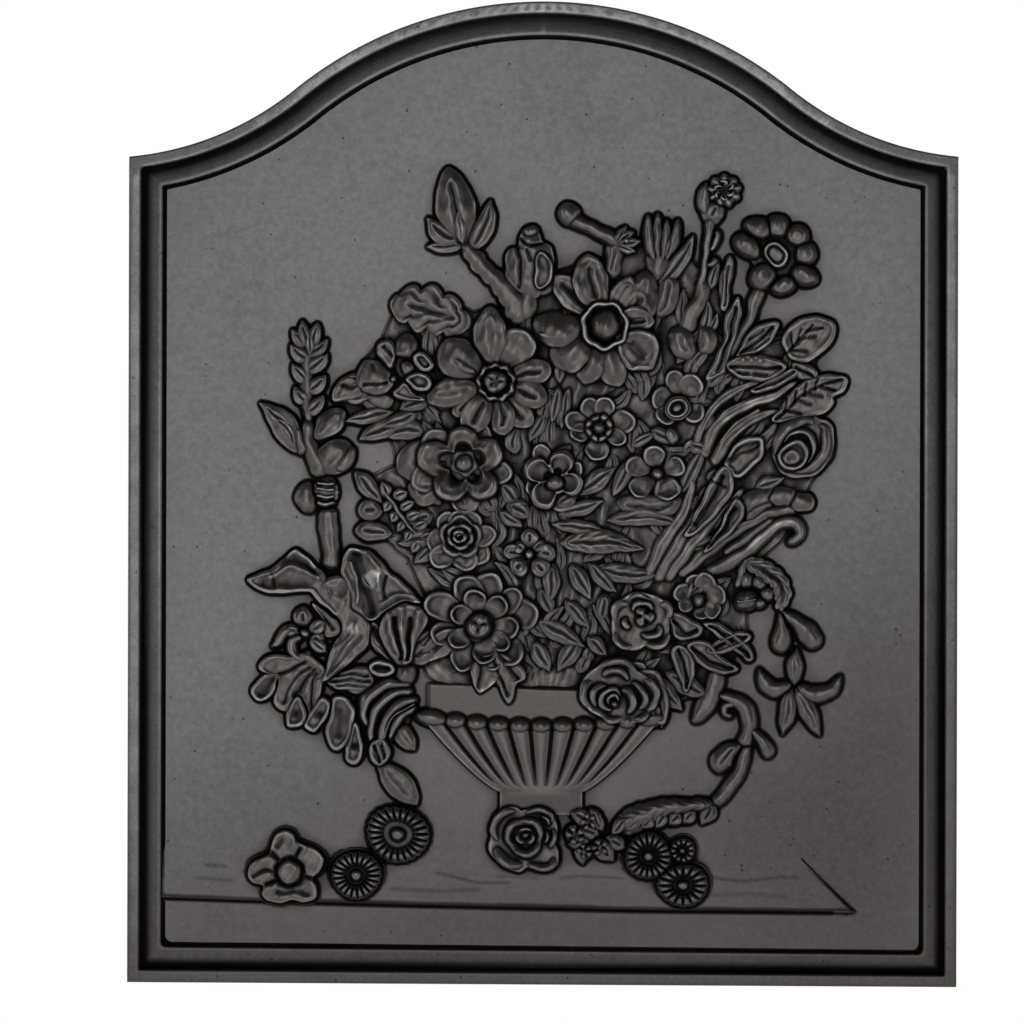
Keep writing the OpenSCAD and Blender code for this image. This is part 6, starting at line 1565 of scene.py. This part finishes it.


# One cast-iron material. Besides its iron colour it takes a darker colour, painted shade towards the lower right; a
# light colour for worn edges that also carries painted highlight; and a brownish colour for painted broad shade near
# tall relief.
def castIron(name, iron, low, worn, bloom, wear, mottle, pits, shine, bumpDepth, fleck=0.2, highWear=0.0, fade=1.0,
        sootShadeDepth=1.0, metal=0.9):
    m = bpy.data.materials.new(name)
    t = emptyTree(m)
    out = node(t, "OutputMaterial")
    bsdf = node(t, "BsdfPrincipled", Metallic=metal)
    skin = node(t, "Group", node_tree=skinGroup)
    for label, value in (("Iron", iron), ("Low", low), ("Worn", worn), ("Bloom", bloom)):
        skin.inputs[label].default_value = (*value, 1)
    for label, value in (("Wear", wear), ("Fade", fade), ("Fleck", fleck), ("Top Light", highWear),
            ("Soot Shade Depth", sootShadeDepth), ("Mottle", mottle), ("Pits", pits), ("Shine", shine)):
        skin.inputs[label].default_value = value
    skin.inputs["Soot"].default_value = (0.0035, 0.0035, 0.004, 1)
    bumpNode = node(t, "Bump", Distance=bumpDepth, Strength=1.0)
    link(t, skin.outputs["Colour"], bsdf.inputs["Base Color"])
    link(t, skin.outputs["Roughness"], bsdf.inputs["Roughness"])
    link(t, skin.outputs["Height"], bumpNode.inputs["Height"])
    link(t, bumpNode.outputs["Normal"], bsdf.inputs["Normal"])
    link(t, bsdf.outputs[0], out.inputs["Surface"])
    return m


irons = dict(field_iron=castIron("fieldIron", iron=(0.17, 0.166, 0.168), low=(0.084, 0.074, 0.078),
    worn=(0.3, 0.295, 0.295), bloom=(0.15, 0.133, 0.129), wear=0.5, mottle=0.15, pits=0.8, shine=0.42,
    bumpDepth=0.00013), border_iron=castIron("borderIron", iron=(0.15, 0.147, 0.144), low=(0.086, 0.08, 0.078),
    worn=(0.26, 0.264, 0.26), bloom=(0.09, 0.078, 0.073), wear=0.7, mottle=0.2, pits=0.7, shine=0.42,
    bumpDepth=0.0001, fleck=0.85, highWear=0.55), relief_iron=castIron("reliefIron", iron=(0.112, 0.103, 0.099),
    low=(0.104, 0.094, 0.092), worn=(0.52, 0.5, 0.485), bloom=(0.104, 0.094, 0.09), wear=0.95, mottle=0.26, pits=0.4,
    shine=0.34, bumpDepth=0.00009),)
print("materials made")


triangles = 0
for name, grids in carvings.items():
    points, quads, caps, walls, start = [], [], [], [], 0
    for grid in grids:
        rows, cols = grid.shape[:2]
        flat = grid.reshape(-1, 3)
        closed = name not in openGrids
        points.append(flat)
        faces = gridFaces(rows, cols, closed, start)
        quads.append(faces)
        if closed:
            caps.append(start + (rows - 1) * cols + np.arange(cols))
            start += len(flat)
        else:
            # an open grid gets side walls and a flat back just under the face
            ring = concatenate([np.arange(cols), np.arange(1, rows) * cols + cols - 1, (rows - 1) * cols
                + np.arange(cols - 2, -1, -1), np.arange(rows - 2, 0, -1) * cols])
            under = flat[ring].copy()
            under[:, 2] = -0.5
            points.append(under)
            k = np.arange(len(ring))
            n = (k + 1) % len(ring)
            base = start + len(flat)
            walls.append(stack([start + ring[n], start + ring[k], base + k, base + n], 1))
            caps.append(base + k)
            start += len(flat) + len(under)
    mesh = makeMesh(camel(name), slotOf(name), concatenate(points), concatenate(quads), caps, walls)
    finishPiece(name, mesh, irons[slotOf(name)])
    triangles += sum(len(poly.vertices) - 2
        for poly in mesh.polygons) if len(mesh.polygons) < 1000 else 2 * len(mesh.polygons)
print("pieces", len(carvings), "about", triangles, "triangles")

# the board itself: a fine front that swells a little, and a back five times coarser
board = dict(across=250, up=300, step=5, swell=0.02)


def boardGrid(across, up, height):
    u = linspace(-1, 1, across + 1)[None]
    v = linspace(0, 1, up + 1)[:, None]
    x = u * halfW + 0 * v
    z = v * boardTop(u * halfW)
    off = np.minimum(np.minimum(halfW - np.abs(x), z), boardTop(x) - z)
    return dstack([x, z, height(x, z, off)])


# Point numbers round the edge of a grid.
def edgeLoop(rows, cols):
    return concatenate([np.arange(cols - 1), np.arange(rows - 1) * cols + cols - 1, rows * cols - 1
        - np.arange(cols - 1), (rows - 1 - np.arange(rows - 1)) * cols])


thick = (backY - faceY) / mm
front = boardGrid(board["across"], board["up"], lambda x, z, off: -board["swell"] * (1
    + castWave(x, z, 46, 0.4)) * clip((off - 20) / 12, 0, 1))
back = boardGrid(board["across"] // board["step"], board["up"] // board["step"], lambda x, z,
    off: 0.2 * (1 + castWave(x, z, 60, 2.0)) * clip(off / 12, 0, 1) - thick)
frontEdge = edgeLoop(*front.shape[:2])
backEdge = edgeLoop(*back.shape[:2]) + front.shape[0] * front.shape[1]
walls = []
for i in range(len(backEdge)):
    near = [frontEdge[(i * board["step"] + j) % len(frontEdge)] for j in range(board["step"], -1, -1)]
    walls.append(near + [backEdge[i], backEdge[(i + 1) % len(backEdge)]])
boardMesh = makeMesh("backPlate", "board", concatenate([front.reshape(-1, 3), back.reshape(-1, 3)]),
    concatenate([gridFaces(*front.shape[:2], False, 0), gridFaces(*back.shape[:2], False,
    front.shape[0] * front.shape[1])[:, ::-1]]), walls)
finishPiece("back_plate", boardMesh, irons["field_iron"])
print("board made", len(boardMesh.polygons))


studio = dict(centreX=-18.4, centreZ=289.3, far=3.2, viewW=627.7, tableGlow=0.6, fill=0.1, floorHalf=4,
    floorZ=-0.0005, yaw=math.radians(2.15), roll=math.radians(-0.15))


# The camera sees one shader, and the room is lit by another.
def litAndSeen(tree, lit, seen, end):
    mix, path, out = (node(tree, kind) for kind in ("MixShader", "LightPath", end))
    link(tree, path.outputs["Is Camera Ray"], mix.inputs[0])
    link(tree, lit.outputs[0], mix.inputs[1])
    link(tree, seen.outputs[0], mix.inputs[2])
    link(tree, mix.outputs[0], out.inputs["Surface"])


white = (1, 1, 1, 1)
world = bpy.data.worlds.new("studioWorld")
scene.world = world
sky = emptyTree(world)
litAndSeen(sky, node(sky, "Background", Color=white, Strength=studio["fill"]), node(sky, "Background", Color=white,
    Strength=1.0), "OutputWorld")

half, low = studio["floorHalf"], studio["floorZ"]
floorMesh = bpy.data.meshes.new("studioFloor")
floorMesh.from_pydata([(-half, -5, low), (half, -5, low), (half, 3, low), (-half, 3, low)], [], [(0, 1, 2, 3)])
floor = addObject("studioFloor", floorMesh)
floorPaint = bpy.data.materials.new("studioFloorPaint")
paint = emptyTree(floorPaint)
both = node(paint, "AddShader")
link(paint, node(paint, "BsdfDiffuse", Color=(0.8, 0.8, 0.8, 1)).outputs[0], both.inputs[0])
link(paint, node(paint, "Emission", Strength=studio["tableGlow"]).outputs[0], both.inputs[1])
litAndSeen(paint, both, node(paint, "Emission", Color=white, Strength=1.0), "OutputMaterial")
floorMesh.materials.append(floorPaint)

lamps = dict(key=dict(at=(-0.35, -3.8, 0.75), size=1.9, power=17, aim=(-0.03, 0, 0.33)),
    glint=dict(at=(0.0, -3.3, 0.2), size=0.3, power=2.6, aim=(0, 0, 0.3)), left=dict(at=(-3.2, -1.2, 1.2), size=1.6,
    power=8, aim=(0, 0, 0.3)), right=dict(at=(3.2, -1.2, 0.9), size=1.6, power=6, aim=(0, 0, 0.3)),
    back=dict(at=(0.4, 3.2, 1.2), size=1.8, power=22, aim=(0, 0, 0.3)),)
for name, lamp in lamps.items():
    light = bpy.data.lights.new(name + "Lamp", "AREA")
    light.size = lamp["size"]
    light.energy = lamp["power"]
    holder = addObject(name + "Lamp", light)
    holder.location = lamp["at"]
    aim = array(lamp["aim"]) - array(lamp["at"])
    holder.rotation_euler = (math.acos(-aim[2] / np.linalg.norm(aim)), 0, math.atan2(aim[1], aim[0]) - math.pi / 2)

camData = bpy.data.cameras.new("photoCamera")
camera = addObject("photoCamera", camData)
camera.location = (studio["centreX"] * mm + studio["far"] * math.sin(studio["yaw"]),
    faceY - studio["far"] * math.cos(studio["yaw"]), studio["centreZ"] * mm)
camera.rotation_euler = (math.pi / 2, studio["roll"], studio["yaw"])
camData.sensor_width = 36
camData.lens = 36 * studio["far"] / (studio["viewW"] * mm)
camData.clip_end = 50
scene.camera = camera
scene.view_settings.view_transform = "Standard"
print("studio made")
